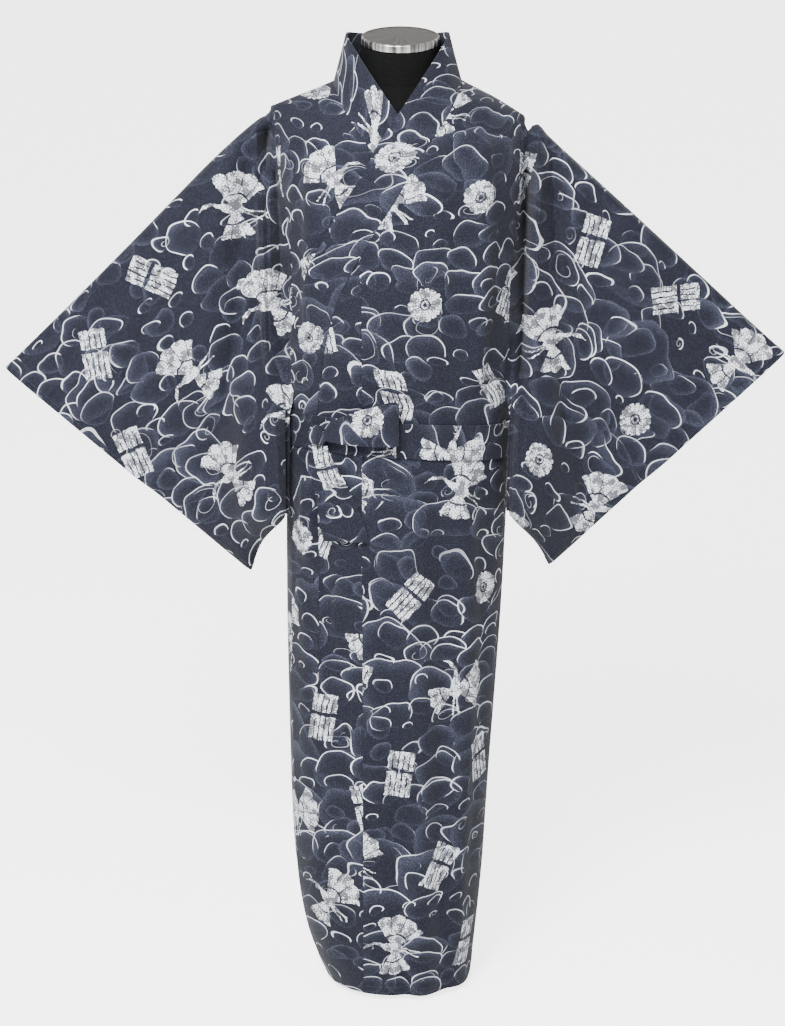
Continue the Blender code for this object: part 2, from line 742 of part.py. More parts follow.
def sleeve_column(side, station, top_root, bottom_root, face, levels):
    """Points of one sleeve station, top fold to bottom seam, on one face."""
    cuff = CUFFS[side]
    starts = [Vector((root.x, 0.0, root.z)) for root in (top_root, bottom_root)]
    ends = [Vector((corner.x, 0.0, corner.height)) for corner in (cuff.top, cuff.bottom)]
    reach = min(station.reach / (starts[0] - ends[0]).length, 1.0)
    top = mix(starts[0], ends[0], reach)
    top.z += station.lift
    bottom = mix(starts[1], ends[1], reach**BOTTOM_SPREAD)
    centre = (station.front + station.back) / 2.0
    side_y = station.front if face == FRONT else station.back
    narrowing = 1.0 - (starts[1] - ends[1]).length / (starts[0] - ends[0]).length
    points = []
    for level in levels:
        point = mix(top, bottom, level)
        out_y = side_y
        if reach == 1.0:
            sewn = ease((level - HAND_OPENING) / HAND_OPENING_EASE)
            out_y = mix(side_y, centre + face * SEWN_CUFF, sewn)
        pinched = ease((level - PINCH_LEVEL) / PINCH_RUN) * math.exp(-station.reach / PINCH_REACH)
        puff = (1.0 - pinched) * sleeve_profile(level)
        fade = ease(level / 0.06) * ease((1.0 - level) / FOLD_FADE) * (1.0 - narrowing * level)
        point.y = mix(centre, out_y, puff) - face * station.fold * fade * (1.0 - pinched)
        points.append(point)
    return points


def sleeve_grid(side):
    """Points of a sleeve: rows run round its ring, columns from the armhole to the cuff."""
    edges = armhole_edges(side)
    half = len(edges) // 2
    grids = {}
    for face, run in ((FRONT, edges[: half + 1][::-1]), (BACK, edges[half:])):
        roots = sleeve_root(side, run, face)
        ends = (roots[0][0], roots[-1][0])
        drop = ends[0].z - ends[1].z
        levels = [(ends[0].z - root.z) / drop for root, way in roots]
        stations = [sleeve_column(side, s, *ends, face, levels) for s in SLEEVE_STATIONS[side]]
        near = []
        for (root, way), after in zip(roots, stations[0]):
            near.append(root + way * min(SLEEVE_ROOT_RUN, 0.35 * (after - root).length))
        grids[face] = [[root for root, way in roots], near] + stations
    last = len(grids[FRONT][0]) - 1
    ring = [(FRONT, level) for level in range(last, -1, -1)]
    ring += [(BACK, level) for level in range(1, last)]
    return [[column[level] for column in grids[face]] for face, level in ring]


def make_sleeve(name, side):
    """Sleeve folded on its top edge and sewn below, open at the armhole and at the hand."""
    return make_sheet(name, sleeve_grid(side), CLOTH, True, YUKATA_COTTON)


def belt_height(angle):
    """Height of the middle of the sash at a ring angle."""
    turn = math.radians(angle)
    return BELT_HEIGHT + BELT_FRONT_RISE * math.cos(turn) - BELT_SIDE_DROP * math.sin(turn)


def make_belt():
    """Sash round the waist, a closed band outside the robe."""
    skins = []
    for offset in (BELT_CLOTH / 2.0, -BELT_CLOTH / 2.0):
        rows = []
        for segment in range(BELT_SEGMENTS):
            angle = 360.0 * segment / BELT_SEGMENTS
            row = []
            for column in range(BELT_COLUMNS + 1):
                height = belt_height(angle) + BELT_WIDTH * (column / BELT_COLUMNS - 0.5)
                row.append(ring_point(height, angle, BELT_INSET - offset))
            rows.append(row)
        skins.append(rows)
    return make_wall("belt_band", skins[0], skins[1], True, YUKATA_COTTON)


def bow_point(x, height, out):
    """Point in front of the robe, a distance out from the torso surface."""
    surface = torso_point(x, height, FRONT)
    aside = torso_point(x + 0.002, height, FRONT)
    along = (aside - surface).normalized()
    outwards = Vector((along.y, -along.x, 0.0))
    if outwards.y > 0.0:
        outwards.negate()
    return surface + outwards * out


def make_loop():
    """Bow loop: the sash runs out from the knot, folds over and comes back."""
    grid = []
    for station in LOOP_STATIONS:
        row = []
        for column in range(LOOP_COLUMNS + 1):
            across = 2.0 * column / LOOP_COLUMNS - 1.0
            height = station.height + across * station.half_width
            row.append(bow_point(station.x, height, station.out))
        grid.append(row)
    return make_sheet("belt_loop", grid, BELT_CLOTH, False, YUKATA_COTTON)


def make_tail():
    """Hanging end of the sash."""
    grid = []
    for station in TAIL_STATIONS:
        row = []
        for column in range(TAIL_COLUMNS + 1):
            across = 2.0 * column / TAIL_COLUMNS - 1.0
            crown = 0.002 * (1.0 - across * across)
            x = station.x + across * station.half_width
            row.append(bow_point(x, station.height, station.out + crown))
        grid.append(row)
    return make_sheet("belt_tail", grid, BELT_CLOTH, False, YUKATA_COTTON)


def make_rings(name, rings, finish):
    """Closed solid through rings of points, with a fan of triangles on each end."""
    mesh = bpy.data.meshes.new(name)
    builder = bmesh.new()
    loops = [[builder.verts.new(p) for p in ring] for ring in rings]
    count = len(rings[0])
    for lower, upper in zip(loops, loops[1:]):
        for index in range(count):
            after = (index + 1) % count
            builder.faces.new((lower[index], lower[after], upper[after], upper[index]))
    for loop in (loops[0], loops[-1]):
        centre = sum((v.co for v in loop), Vector()) / count
        hub = builder.verts.new(centre)
        for index in range(count):
            builder.faces.new((loop[index], loop[(index + 1) % count], hub))
    return finish_object(name, mesh, builder, finish)


def make_knot():
    """Knot of the sash, pleated where the sash pulls through it."""
    centre = bow_point(KNOT_CENTRE[0], KNOT_CENTRE[1], KNOT_OUT)
    behind = torso_point(KNOT_CENTRE[0], KNOT_CENTRE[1], FRONT)
    outwards = (centre - behind).normalized()
    across = Vector((0.0, 0.0, 1.0)).cross(outwards)
    rings = []
    for ring in range(1, KNOT_RINGS):
        polar = math.pi * ring / KNOT_RINGS
        loop = []
        for segment in range(KNOT_SEGMENTS):
            turn = 2.0 * math.pi * segment / KNOT_SEGMENTS
            pleat = 1.0 + KNOT_PLEAT_DEPTH * math.cos(KNOT_PLEATS * turn)
            wide = KNOT_HALF_SIZE[0] * math.sin(polar) ** 0.8 * math.cos(turn) * pleat
            deep = KNOT_HALF_SIZE[1] * math.sin(polar) ** 0.8 * math.sin(turn) * pleat
            tall = KNOT_HALF_SIZE[2] * math.cos(polar)
            loop.append(centre + across * wide + outwards * deep + Vector((0.0, 0.0, tall)))
        rings.append(loop)
    return make_rings("belt_knot", rings, YUKATA_COTTON)


def turned_rings(profile, segments):
    """Rings of a turned shape from a profile of radius and height, lowest first."""
    rings = []
    for radius, height in profile:
        ring = []
        for segment in range(segments):
            turn = 2.0 * math.pi * segment / segments
            ring.append(Vector((radius * math.cos(turn), radius * math.sin(turn), height)))
        rings.append(ring)
    return rings


def form_ring(row, wall):
    """Ring of the dress form's torso just inside the robe, wall in from its outer face."""
    ring = []
    for segment in range(FORM_SEGMENTS):
        angle = 360.0 * segment / FORM_SEGMENTS
        if row < len(FORM_ROWS):
            ring.append(ring_point(FORM_ROWS[row], angle, FORM_EASE + wall))
            continue
        lift = 90.0 * (row - len(FORM_ROWS) + 1) / FORM_SHOULDER_ROWS
        inset = mix(FORM_SHOULDER_EASE, FORM_EASE, math.cos(math.radians(lift)))
        face = FRONT if math.cos(math.radians(angle)) > 0.0 else BACK
        x = ring_point(CHEST_HEIGHT, angle, FORM_EASE + wall).x
        ring.append(dome_point(x, lift, face, inset + wall))
    return ring


def make_torso():
    """Limbless dress form: a hollow torso open below, closed on the shoulder line, with a neck."""
    outside = [form_ring(row, 0.0) for row in range(len(FORM_ROWS) + FORM_SHOULDER_ROWS)]
    inside = [form_ring(row, FORM_WALL) for row in range(len(FORM_ROWS) + FORM_CEILING_ROW)]
    mesh = bpy.data.meshes.new("form_torso")
    builder = bmesh.new()
    loops = [[builder.verts.new(p) for p in ring] for ring in inside[::-1] + outside]
    for lower, upper in zip(loops, loops[1:]):
        for index in range(FORM_SEGMENTS):
            after = (index + 1) % FORM_SEGMENTS
            builder.faces.new((lower[index], lower[after], upper[after], upper[index]))
    ceiling = builder.verts.new(sum((v.co for v in loops[0]), Vector()) / FORM_SEGMENTS)
    for index in range(FORM_SEGMENTS):
        builder.faces.new((loops[0][index], loops[0][(index + 1) % FORM_SEGMENTS], ceiling))
    bmesh.ops.remove_doubles(builder, verts=loops[-1], dist=0.0001)
    torso = finish_object("form_torso", mesh, builder, BLACK_COVER)
    neck_rings = []
    for ring in NECK_RINGS:
        tilt = Matrix.Rotation(math.radians(ring.tilt), 3, "X")
        loop = turned_rings([(ring.radius, 0.0)], NECK_SEGMENTS)[0]
        centre = Vector((0.0, ring.y, ring.height))
        neck_rings.append([centre + tilt @ point for point in loop])
    neck = make_rings("form_neck_tool", neck_rings, BLACK_COVER)
    neck.hide_render = True
    neck.display_type = "WIRE"
    union = torso.modifiers.new("neck", "BOOLEAN")
    union.operation = "UNION"
    union.solver = "EXACT"
    union.object = neck
    return torso


def make_cap():
    """Round metal cap on the neck, tilted forward with it."""
    top = CAP_THICKNESS
    profile = [
        (CAP_RADIUS - CAP_EDGE, 0.0),
        (CAP_RADIUS, CAP_EDGE),
        (CAP_RADIUS, top - CAP_EDGE),
        (CAP_RADIUS - 0.3 * CAP_EDGE, top - 0.3 * CAP_EDGE),
        (CAP_RADIUS - CAP_EDGE, top),
    ]
    last = NECK_RINGS[-1]
    tilt = Matrix.Rotation(math.radians(last.tilt), 3, "X")
    seat = Vector((0.0, last.y, last.height)) + tilt @ Vector((0.0, 0.0, SEAM_GAP))
    rings = turned_rings(profile, CAP_SEGMENTS)
    placed = [[seat + tilt @ point for point in ring] for ring in rings]
    return make_rings("form_neck_cap", placed, SATIN_STEEL)


def make_base():
    """Round steel foot with a raised boss for the pole."""
    profile = [
        (BASE_RADIUS - BASE_EDGE, 0.0),
        (BASE_RADIUS, BASE_EDGE),
        (BASE_RADIUS, BASE_THICKNESS - BASE_EDGE),
        (BASE_RADIUS - BASE_EDGE, BASE_THICKNESS),
        (BOSS_RADIUS, BASE_THICKNESS + BASE_EDGE),
        (BOSS_RADIUS, BOSS_HEIGHT - BASE_EDGE),
        (BOSS_RADIUS - BASE_EDGE, BOSS_HEIGHT),
    ]
    return make_rings("stand_base", turned_rings(profile, BASE_SEGMENTS), BLACK_ENAMEL)


def make_pole():
    """Pole from the foot's boss to the ceiling of the form."""
    low = BOSS_HEIGHT + SEAM_GAP
    high = NECK_RINGS[0].height - SEAM_GAP
    profile = [(POLE_RADIUS, low), (POLE_RADIUS, high)]
    return make_rings("stand_pole", turned_rings(profile, POLE_SEGMENTS), SATIN_STEEL)


def main():
    """Build every piece of the robe, the form and the stand."""
    for old in list(bpy.data.objects):
        bpy.data.objects.remove(old, do_unlink=True)
    make_body("body_left", LEFT)
    make_body("body_right", RIGHT)
    make_okumi("okumi_left", LEFT)
    make_okumi("okumi_right", RIGHT)
    make_collar()
    make_sleeve("sleeve_left", LEFT)
    make_sleeve("sleeve_right", RIGHT)
    make_belt()
    make_knot()
    make_loop()
    make_tail()
    make_torso()
    make_cap()
    make_base()
    make_pole()


main()
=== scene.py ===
# %% [markdown]
# # A cotton yukata on a limbless dress form
#
# A yukata is an unlined summer robe. It is cut from one narrow bolt of printed cotton into straight
# panels: two body panels that run from the front hem over the shoulder to the back hem, two overlap
# panels at the front, two sleeves, one long collar band and a sash of the same cloth.
#
# The lesson lays each panel on one smooth torso surface, lets it fall in soft folds, gives it a
# thin wall and a UV map in metres of cloth, and prints it with procedural shader groups.

import bisect
import json
import math
from collections import namedtuple
from functools import partialmethod

import bpy
import numpy as np
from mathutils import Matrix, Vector

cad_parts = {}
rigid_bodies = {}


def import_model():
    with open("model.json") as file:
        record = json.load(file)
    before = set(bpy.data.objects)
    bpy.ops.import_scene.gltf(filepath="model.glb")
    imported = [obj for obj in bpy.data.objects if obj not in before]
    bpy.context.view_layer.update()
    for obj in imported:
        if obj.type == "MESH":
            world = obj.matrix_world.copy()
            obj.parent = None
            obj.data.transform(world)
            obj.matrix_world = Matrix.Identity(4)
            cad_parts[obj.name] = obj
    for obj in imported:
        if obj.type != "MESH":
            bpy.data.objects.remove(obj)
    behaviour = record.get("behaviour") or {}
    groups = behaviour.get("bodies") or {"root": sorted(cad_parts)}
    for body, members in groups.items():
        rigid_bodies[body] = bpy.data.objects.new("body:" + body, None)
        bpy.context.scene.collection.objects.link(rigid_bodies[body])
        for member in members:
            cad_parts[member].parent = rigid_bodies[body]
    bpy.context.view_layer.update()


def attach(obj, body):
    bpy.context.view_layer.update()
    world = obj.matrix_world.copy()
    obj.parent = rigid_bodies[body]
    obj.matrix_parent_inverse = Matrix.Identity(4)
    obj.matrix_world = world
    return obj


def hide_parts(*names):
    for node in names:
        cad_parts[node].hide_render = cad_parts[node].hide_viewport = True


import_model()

# %% [markdown]
# ## The torso that the cloth lies on
#
# A dressed form is close to a rounded box: flat front and back, soft sides, and shoulders that
# slope away from the neck. A short table of widths and depths describes it, and cloth of any
# panel can then be laid on it by height and angle. Metres are used throughout.

# %% The torso's sections and shoulder line
LEFT = 1
RIGHT = -1
FRONT = -1
BACK = 1
SECTION_POWER = 2.3
DOME_POWER = 2.2
CHEST_HEIGHT = 1.226
UNDERARM_HEIGHT = 0.965
ARMHOLE_FULL_HEIGHT = 1.060
ARMHOLE_ACROSS = 0.955
SIDE_ANGLE = 90.0
SEAM_GAP = 0.0003
UNDER_INSET = 0.0060
UNDER_EASE_ANGLE = 30.0

Section = namedtuple("Section", "height right_reach left_reach front_depth back_depth")
SECTIONS = [Section(*row) for row in [
    (0.010, 0.119, 0.113, 0.120, 0.130), (0.075, 0.144, 0.120, 0.124, 0.129),
    (0.200, 0.170, 0.131, 0.127, 0.127), (0.330, 0.176, 0.138, 0.127, 0.124),
    (0.500, 0.179, 0.149, 0.127, 0.122), (0.640, 0.180, 0.157, 0.127, 0.120),
    (0.800, 0.179, 0.163, 0.124, 0.116), (0.900, 0.177, 0.165, 0.119, 0.110),
    (1.000, 0.175, 0.167, 0.122, 0.111), (1.120, 0.175, 0.171, 0.126, 0.113),
    (1.226, 0.178, 0.178, 0.124, 0.116), (1.300, 0.188, 0.183, 0.124, 0.116),
    (1.400, 0.193, 0.185, 0.124, 0.116),
]]

ShoulderPoint = namedtuple("ShoulderPoint", "x height")
SHOULDER_LINE = [ShoulderPoint(*row) for row in [
    (-0.215, 1.380), (-0.150, 1.4045),
    (-0.095, 1.4265), (-0.045, 1.4520),
    (0.000, 1.4700), (0.045, 1.4520),
    (0.090, 1.4265), (0.140, 1.4010),
    (0.200, 1.3640),
]]
print("torso sections:", len(SECTIONS))


# %% Reading the tables smoothly
def mix(start, end, share):
    """Value or vector at a share of the way from start to end."""
    return start + (end - start) * share


def ease(share):
    """Smooth step from 0 to 1."""
    share = min(max(share, 0.0), 1.0)
    return share * share * (3.0 - 2.0 * share)


def read_table(rows, column, place, key=None):
    """Smooth value of a table's column at a place in its key column, by cubic Hermite arcs."""
    keys = [getattr(row, key) if key else row[0] for row in rows]
    values = [getattr(row, column) for row in rows]
    last = len(keys) - 1
    if place <= keys[0]:
        return values[0]
    if place >= keys[last]:
        return values[last]
    low = bisect.bisect_right(keys, place) - 1

    def slope(index):
        before = max(index - 1, 0)
        after = min(index + 1, last)
        return (values[after] - values[before]) / (keys[after] - keys[before])

    span = keys[low + 1] - keys[low]
    share = (place - keys[low]) / span
    square = share * share
    cube = square * share
    start = values[low] * (2.0 * cube - 3.0 * square + 1.0)
    end = values[low + 1] * (3.0 * square - 2.0 * cube)
    leave = slope(low) * span * (cube - 2.0 * square + share)
    reach = slope(low + 1) * span * (cube - square)
    return start + end + leave + reach


def middle(height):
    """x of the robe's middle at a height."""
    left = read_table(SECTIONS, "left_reach", height)
    right = read_table(SECTIONS, "right_reach", height)
    return (left - right) / 2.0


def half_width(height):
    """Half the robe's width at a height."""
    left = read_table(SECTIONS, "left_reach", height)
    right = read_table(SECTIONS, "right_reach", height)
    return (left + right) / 2.0


def depth(height, face):
    """How far the front or the back stands from the side seams at a height."""
    column = "front_depth" if face == FRONT else "back_depth"
    return read_table(SECTIONS, column, height)


def shoulder(x):
    """Height of the shoulder line at x."""
    return read_table(SHOULDER_LINE, "height", x)


def ring_point(height, angle, inset=0.0):
    """Point on a level ring. Angle 0 is the front middle, 90 the left side and 180 the back."""
    sine = math.sin(math.radians(angle))
    cosine = math.cos(math.radians(angle))
    face = FRONT if cosine > 0.0 else BACK
    power = 2.0 / SECTION_POWER
    x = middle(height) + math.copysign(abs(sine) ** power, sine) * (half_width(height) - inset)
    y = face * abs(cosine) ** power * (depth(height, face) - inset)
    return Vector((x, y, height))


def front_angle(height, x, inset=0.0):
    """Ring angle, measured on the front, of a point at x."""
    across = (x - middle(height)) / (half_width(height) - inset)
    sine = math.copysign(min(abs(across), 1.0) ** (SECTION_POWER / 2.0), across)
    return math.degrees(math.asin(sine))


def dome_point(x, lift, face, inset=0.0):
    """Point above the chest. Lift is 0 at the chest and 90 degrees on the shoulder line."""
    power = 2.0 / DOME_POWER
    rise = shoulder(x) - inset - CHEST_HEIGHT
    height = CHEST_HEIGHT + rise * math.sin(math.radians(lift)) ** power
    across = min(abs(x - middle(height)) / (half_width(height) - inset), 1.0)
    fullness = (1.0 - across**SECTION_POWER) ** (1.0 / SECTION_POWER)
    fall = max(math.cos(math.radians(lift)), 0.0) ** power
    return Vector((x, face * (depth(height, face) - inset) * fullness * fall, height))


def dome_lift(x, height):
    """Lift of the dome point at x and a height."""
    share = (height - CHEST_HEIGHT) / (shoulder(x) - CHEST_HEIGHT)
    share = min(max(share, 0.0), 1.0)
    return math.degrees(math.asin(share ** (DOME_POWER / 2.0)))


def torso_point(x, height, face, inset=0.0):
    """Point of the torso surface at x and a height."""
    if height > CHEST_HEIGHT:
        return dome_point(x, dome_lift(x, height), face, inset)
    angle = front_angle(height, x, inset)
    return ring_point(height, angle if face == FRONT else 180.0 - angle, inset)


def under_inset(angle, side):
    """Inset of a panel: the right front lies under the left, and its back eases out to 0."""
    if side == LEFT:
        return 0.0
    return UNDER_INSET * ease((SIDE_ANGLE + UNDER_EASE_ANGLE - abs(angle)) / UNDER_EASE_ANGLE)


print("chest, left side:", ring_point(CHEST_HEIGHT, 90.0))

# %% [markdown]
# ## The lines the pieces are cut to
#
# The collar's seam crosses the front as one long diagonal. Both body panels and both overlap
# panels end on it, so it is measured once, at stations from the side of the neck downwards.

# %% The collar's stations
CollarStation = namedtuple(
    "CollarStation", "seam_out seam_height free_out free_height free_y lies"
)
COLLAR_STATIONS = [CollarStation(*row) for row in [
    (0.0920, 1.4310, 0.0745, 1.4960, -0.004, 0.0), (0.0860, 1.4120, 0.0600, 1.4740, -0.042, 0.0),
    (0.0740, 1.3900, 0.0330, 1.4370, -0.076, 0.0), (0.0450, 1.3500, -0.0030, 1.3870, -0.102, 0.6),
    (0.0220, 1.3180, -0.0300, 1.3480, -0.112, 1.0), (0.0010, 1.2800, -0.0500, 1.3100, -0.117, 1.0),
    (-0.0350, 1.2260, -0.0870, 1.2560, -0.112, 1.0), (-0.0565, 1.1900, -0.1070, 1.2190, -0.105, 1.0),
    (-0.0850, 1.1300, -0.1340, 1.1550, -0.083, 1.0), (-0.1020, 1.0750, -0.1490, 1.0900, -0.065, 1.0),
    (-0.1130, 1.0020, -0.1570, 1.0100, -0.050, 1.0), (-0.1180, 0.9260, -0.1595, 0.9300, -0.045, 1.0),
    (-0.1190, 0.8500, -0.1595, 0.8500, -0.045, 1.0), (-0.1130, 0.7000, -0.1530, 0.7000, -0.050, 1.0),
    (-0.1090, 0.5400, -0.1510, 0.5400, -0.055, 1.0),
]]
COLLAR_RISING = COLLAR_STATIONS[::-1]
COLLAR_END = 0.540

# The collar behind the neck, from the side of the neck to the middle of the back
NeckStation = namedtuple("NeckStation", "seam_out seam_height free_out free_y free_height")
NECK_STATIONS = [NeckStation(*row) for row in [
    (0.0660, 1.4310, 0.0560, 0.036, 1.4920), (0.0330, 1.4320, 0.0300, 0.058, 1.4880),
    (0.0000, 1.4320, 0.0000, 0.066, 1.4870),
]]
COLLAR_COLUMNS = 4
COLLAR_LIFT = 0.0021
print("collar stations:", len(COLLAR_STATIONS))


# %% Panel edges
OKUMI_TOP = 1.190
OKUMI_TIP_HEIGHT = 1.187
OKUMI_COLUMNS = 6
OKUMI_SPLIT = 3
BODY_COLUMNS = 9
BODY_ROWS = [
    0.010, 0.045, 0.085, 0.140, 0.200, 0.280, 0.370, 0.460, 0.540, 0.620, 0.700,
    0.785, 0.850, 0.890, 0.926, 0.965, 1.012, 1.075, 1.130, 1.190, 1.226,
]
SHOULDER_ROWS = 6
BACK_NECK_ROWS = 3
HEM_DIP = 0.006


def collar_station(height):
    """The collar's station whose seam is at a height."""
    names = CollarStation._fields
    return CollarStation(*(read_table(COLLAR_RISING, name, height, "seam_height") for name in names))


def collar_seam(station, side):
    """x and height of the collar's seam at a station of the front."""
    return middle(station.seam_height) + side * station.seam_out, station.seam_height


def front_stations():
    """Collar stations on the level rows of the body, lowest first."""
    return [collar_station(height) for height in BODY_ROWS if height >= COLLAR_END]


def shoulder_stations():
    """Collar stations above the chest, up to the side of the neck."""
    return [s for s in COLLAR_RISING if s.seam_height > CHEST_HEIGHT]


def seam_x_at(height, side):
    """x of the collar's seam at a height."""
    return collar_seam(collar_station(height), side)[0]


def okumi_seam_x(side):
    """x of the seam between a body panel and its overlap panel."""
    return seam_x_at(OKUMI_TOP, side)


def panel_front_edge(height, side):
    """x of a body panel's front edge, at the overlap panel's seam or at the collar above it."""
    edge = seam_x_at(height, side) if height > OKUMI_TOP else okumi_seam_x(side)
    return edge + side * SEAM_GAP / 2.0


def armhole_across(height):
    """Share of the half width where a panel's side edge runs: 1 below the arm, less beside it."""
    opened = (height - UNDERARM_HEIGHT) / (ARMHOLE_FULL_HEIGHT - UNDERARM_HEIGHT)
    return mix(1.0, ARMHOLE_ACROSS, ease(opened))


def side_edge_angle(height, face):
    """Ring angle of a panel's side edge, for the left side."""
    angle = math.degrees(math.asin(armhole_across(height) ** (SECTION_POWER / 2.0)))
    gap_angle = math.degrees(SEAM_GAP / 2.0 / half_width(height))
    angle = min(angle, SIDE_ANGLE - gap_angle)
    return angle if face == FRONT else 180.0 - angle


def hem_height(height, angle):
    """The lowest row dips a little at the front middle and rises to the sides."""
    if height > BODY_ROWS[0]:
        return height
    return height + HEM_DIP * (1.0 - math.cos(math.radians(angle))) / 2.0


def ring_row(height, start, end, side):
    """Row of a front or back panel between two ring angles of the left side, mirrored for right."""
    row = []
    for column in range(BODY_COLUMNS + 1):
        angle = mix(start, end, column / BODY_COLUMNS)
        place = hem_height(height, angle)
        row.append(ring_point(place, side * angle, under_inset(angle, side)))
    return row


def dome_row(side_lift, edge_x, edge_lift, face, side):
    """Row over the shoulder, from the armhole to the neck."""
    rise = shoulder(side * half_width(CHEST_HEIGHT)) - CHEST_HEIGHT
    height = CHEST_HEIGHT + rise * math.sin(math.radians(side_lift)) ** (2.0 / DOME_POWER)
    side_x = middle(height) + side * ARMHOLE_ACROSS * half_width(height)
    row = []
    for column in range(BODY_COLUMNS + 1):
        share = column / BODY_COLUMNS
        x = mix(side_x, edge_x, share)
        lift = mix(side_lift, edge_lift, share)
        angle = abs(front_angle(CHEST_HEIGHT, x))
        covered = under_inset(angle if face == FRONT else 180.0 - angle, side)
        row.append(dome_point(x, lift, face, covered * (1.0 - lift / 90.0)))
    return row


def body_grid(side):
    """Points of one body panel, front hem over the shoulder to back hem."""
    rows = []
    for height in BODY_ROWS:
        start = side_edge_angle(height, FRONT)
        edge = panel_front_edge(height, side)
        end = side * front_angle(height, edge, under_inset(0.0, side))
        rows.append(ring_row(height, start, end, side))
    stations = shoulder_stations()
    for index, station in enumerate(stations):
        side_lift = 90.0 * (index + 1) / SHOULDER_ROWS
        x, height = collar_seam(station, side)
        edge_lift = 90.0 if index == SHOULDER_ROWS - 1 else dome_lift(x, height)
        x += side * SEAM_GAP / 2.0
        rows.append(dome_row(side_lift, x, edge_lift, FRONT, side))
    for index in range(SHOULDER_ROWS - 1, 0, -1):
        side_lift = 90.0 * index / SHOULDER_ROWS
        behind = SHOULDER_ROWS - 1 - index
        if behind < BACK_NECK_ROWS:
            station = NECK_STATIONS[behind]
            height = station.seam_height - SEAM_GAP
            x = middle(height) + side * max(station.seam_out, SEAM_GAP / 2.0)
        else:
            share = index / (SHOULDER_ROWS - BACK_NECK_ROWS)
            height = mix(CHEST_HEIGHT, NECK_STATIONS[-1].seam_height, share)
            x = middle(height) + side * SEAM_GAP / 2.0
        rows.append(dome_row(side_lift, x, dome_lift(x, height), BACK, side))
    for height in reversed(BODY_ROWS):
        start = side_edge_angle(height, BACK)
        end = 180.0 - math.degrees(SEAM_GAP / 2.0 / half_width(height))
        rows.append(ring_row(height, start, end, side))
    return rows


print("body panel rows:", len(body_grid(LEFT)))


# %% Overlap panels and collar band
def ring_walk(height, start, distance, direction):
    """Ring angle reached by walking a distance along a ring from a start angle."""
    step = 0.5
    angle = start
    here = ring_point(height, angle)
    left = distance
    while left > 0.0:
        angle += direction * step
        there = ring_point(height, angle)
        left -= (there - here).length
        here = there
    return angle


def ring_length(height, start, end):
    """Length along a ring between two angles."""
    steps = 60
    points = [ring_point(height, mix(start, end, i / steps)) for i in range(steps + 1)]
    return sum((b - a).length for a, b in zip(points, points[1:]))


def okumi_rows(side):
    """Heights of an overlap panel's rows, hem to tip."""
    lower = [height for height in BODY_ROWS if height < COLLAR_END]
    upper = [height for height in BODY_ROWS if COLLAR_END < height < OKUMI_TIP_HEIGHT]
    return lower + [COLLAR_END - 2.0 * SEAM_GAP] + upper + [OKUMI_TIP_HEIGHT]


def okumi_grid(side):
    """Points of an overlap panel: to the collar's seam, and past it to the front edge below."""
    collar_end = collar_station(COLLAR_END)
    covered = under_inset(0.0, side)
    inner_x = okumi_seam_x(side) - side * SEAM_GAP / 2.0
    free_x = middle(COLLAR_END) + side * collar_end.free_out
    split_x = seam_x_at(COLLAR_END, side) + side * SEAM_GAP / 2.0
    across = [front_angle(COLLAR_END, x) for x in (inner_x, split_x, free_x)]
    widths = [ring_length(COLLAR_END, across[0], angle) for angle in across]
    rows = []
    for height in okumi_rows(side):
        start = front_angle(height, inner_x, covered)
        if height < COLLAR_END:
            split = ring_walk(height, start, widths[1], -side)
            free = ring_walk(height, start, widths[2], -side)
        else:
            split = front_angle(height, seam_x_at(height, side) + side * SEAM_GAP / 2.0, covered)
            free = split
        row = []
        for column in range(OKUMI_COLUMNS + 1):
            if column <= OKUMI_SPLIT:
                angle = mix(start, split, column / OKUMI_SPLIT)
            else:
                share = (column - OKUMI_SPLIT) / (OKUMI_COLUMNS - OKUMI_SPLIT)
                angle = mix(split, free, share)
            place = hem_height(height, angle)
            row.append(ring_point(place, angle, covered))
        rows.append(row)
    return rows


def surface_normal(x, height, face):
    """Outward normal of the torso surface at x and a height."""
    step = 0.002
    height = min(height, shoulder(x) - step)
    here = torso_point(x, height, face)
    across = torso_point(x + step, height, face) - here
    up = here - torso_point(x, height - step, face)
    return across.cross(up).normalized()


def lift_off(row, normal):
    """Move a collar row's first point off the body's edge, more where it stands up from it."""
    along = (row[1] - row[0]).normalized()
    sine = abs(along.dot(normal))
    cosine = math.sqrt(max(1.0 - sine * sine, 0.0))
    row[0] = row[0] + along * (COLLAR_LIFT * sine + SEAM_GAP * cosine)
    return row


def collar_front_row(station, side):
    """Seam-to-edge row of the collar at one front station."""
    seam_x, seam_height = collar_seam(station, side)
    free_x = middle(station.free_height) + side * station.free_out
    covered = under_inset(0.0, side)
    above = seam_height > CHEST_HEIGHT
    lift = dome_lift(seam_x, seam_height) if above else 0.0
    sunk = covered * (1.0 - lift / 90.0)
    seam = torso_point(seam_x, seam_height, FRONT, sunk)
    free = Vector((free_x, station.free_y + covered * ease(2.0 * station.lies), station.free_height))
    row = []
    for column in range(COLLAR_COLUMNS + 1):
        share = column / COLLAR_COLUMNS
        point = mix(seam, free, share)
        if station.lies > 0.0:
            laid = torso_point(point.x, point.z, FRONT, mix(sunk, covered, share))
            point.y = mix(point.y, laid.y, station.lies)
        row.append(point)
    return lift_off(row, surface_normal(seam_x, seam_height, FRONT))


def collar_back_row(station, side):
    """Seam-to-edge row of the collar behind the neck."""
    seam_x = middle(station.seam_height) + side * station.seam_out
    seam = torso_point(seam_x, station.seam_height, BACK)
    free_x = middle(station.free_height) + side * station.free_out
    free = Vector((free_x, station.free_y, station.free_height))
    row = [mix(seam, free, column / COLLAR_COLUMNS) for column in range(COLLAR_COLUMNS + 1)]
    return lift_off(row, surface_normal(seam_x, station.seam_height, BACK))


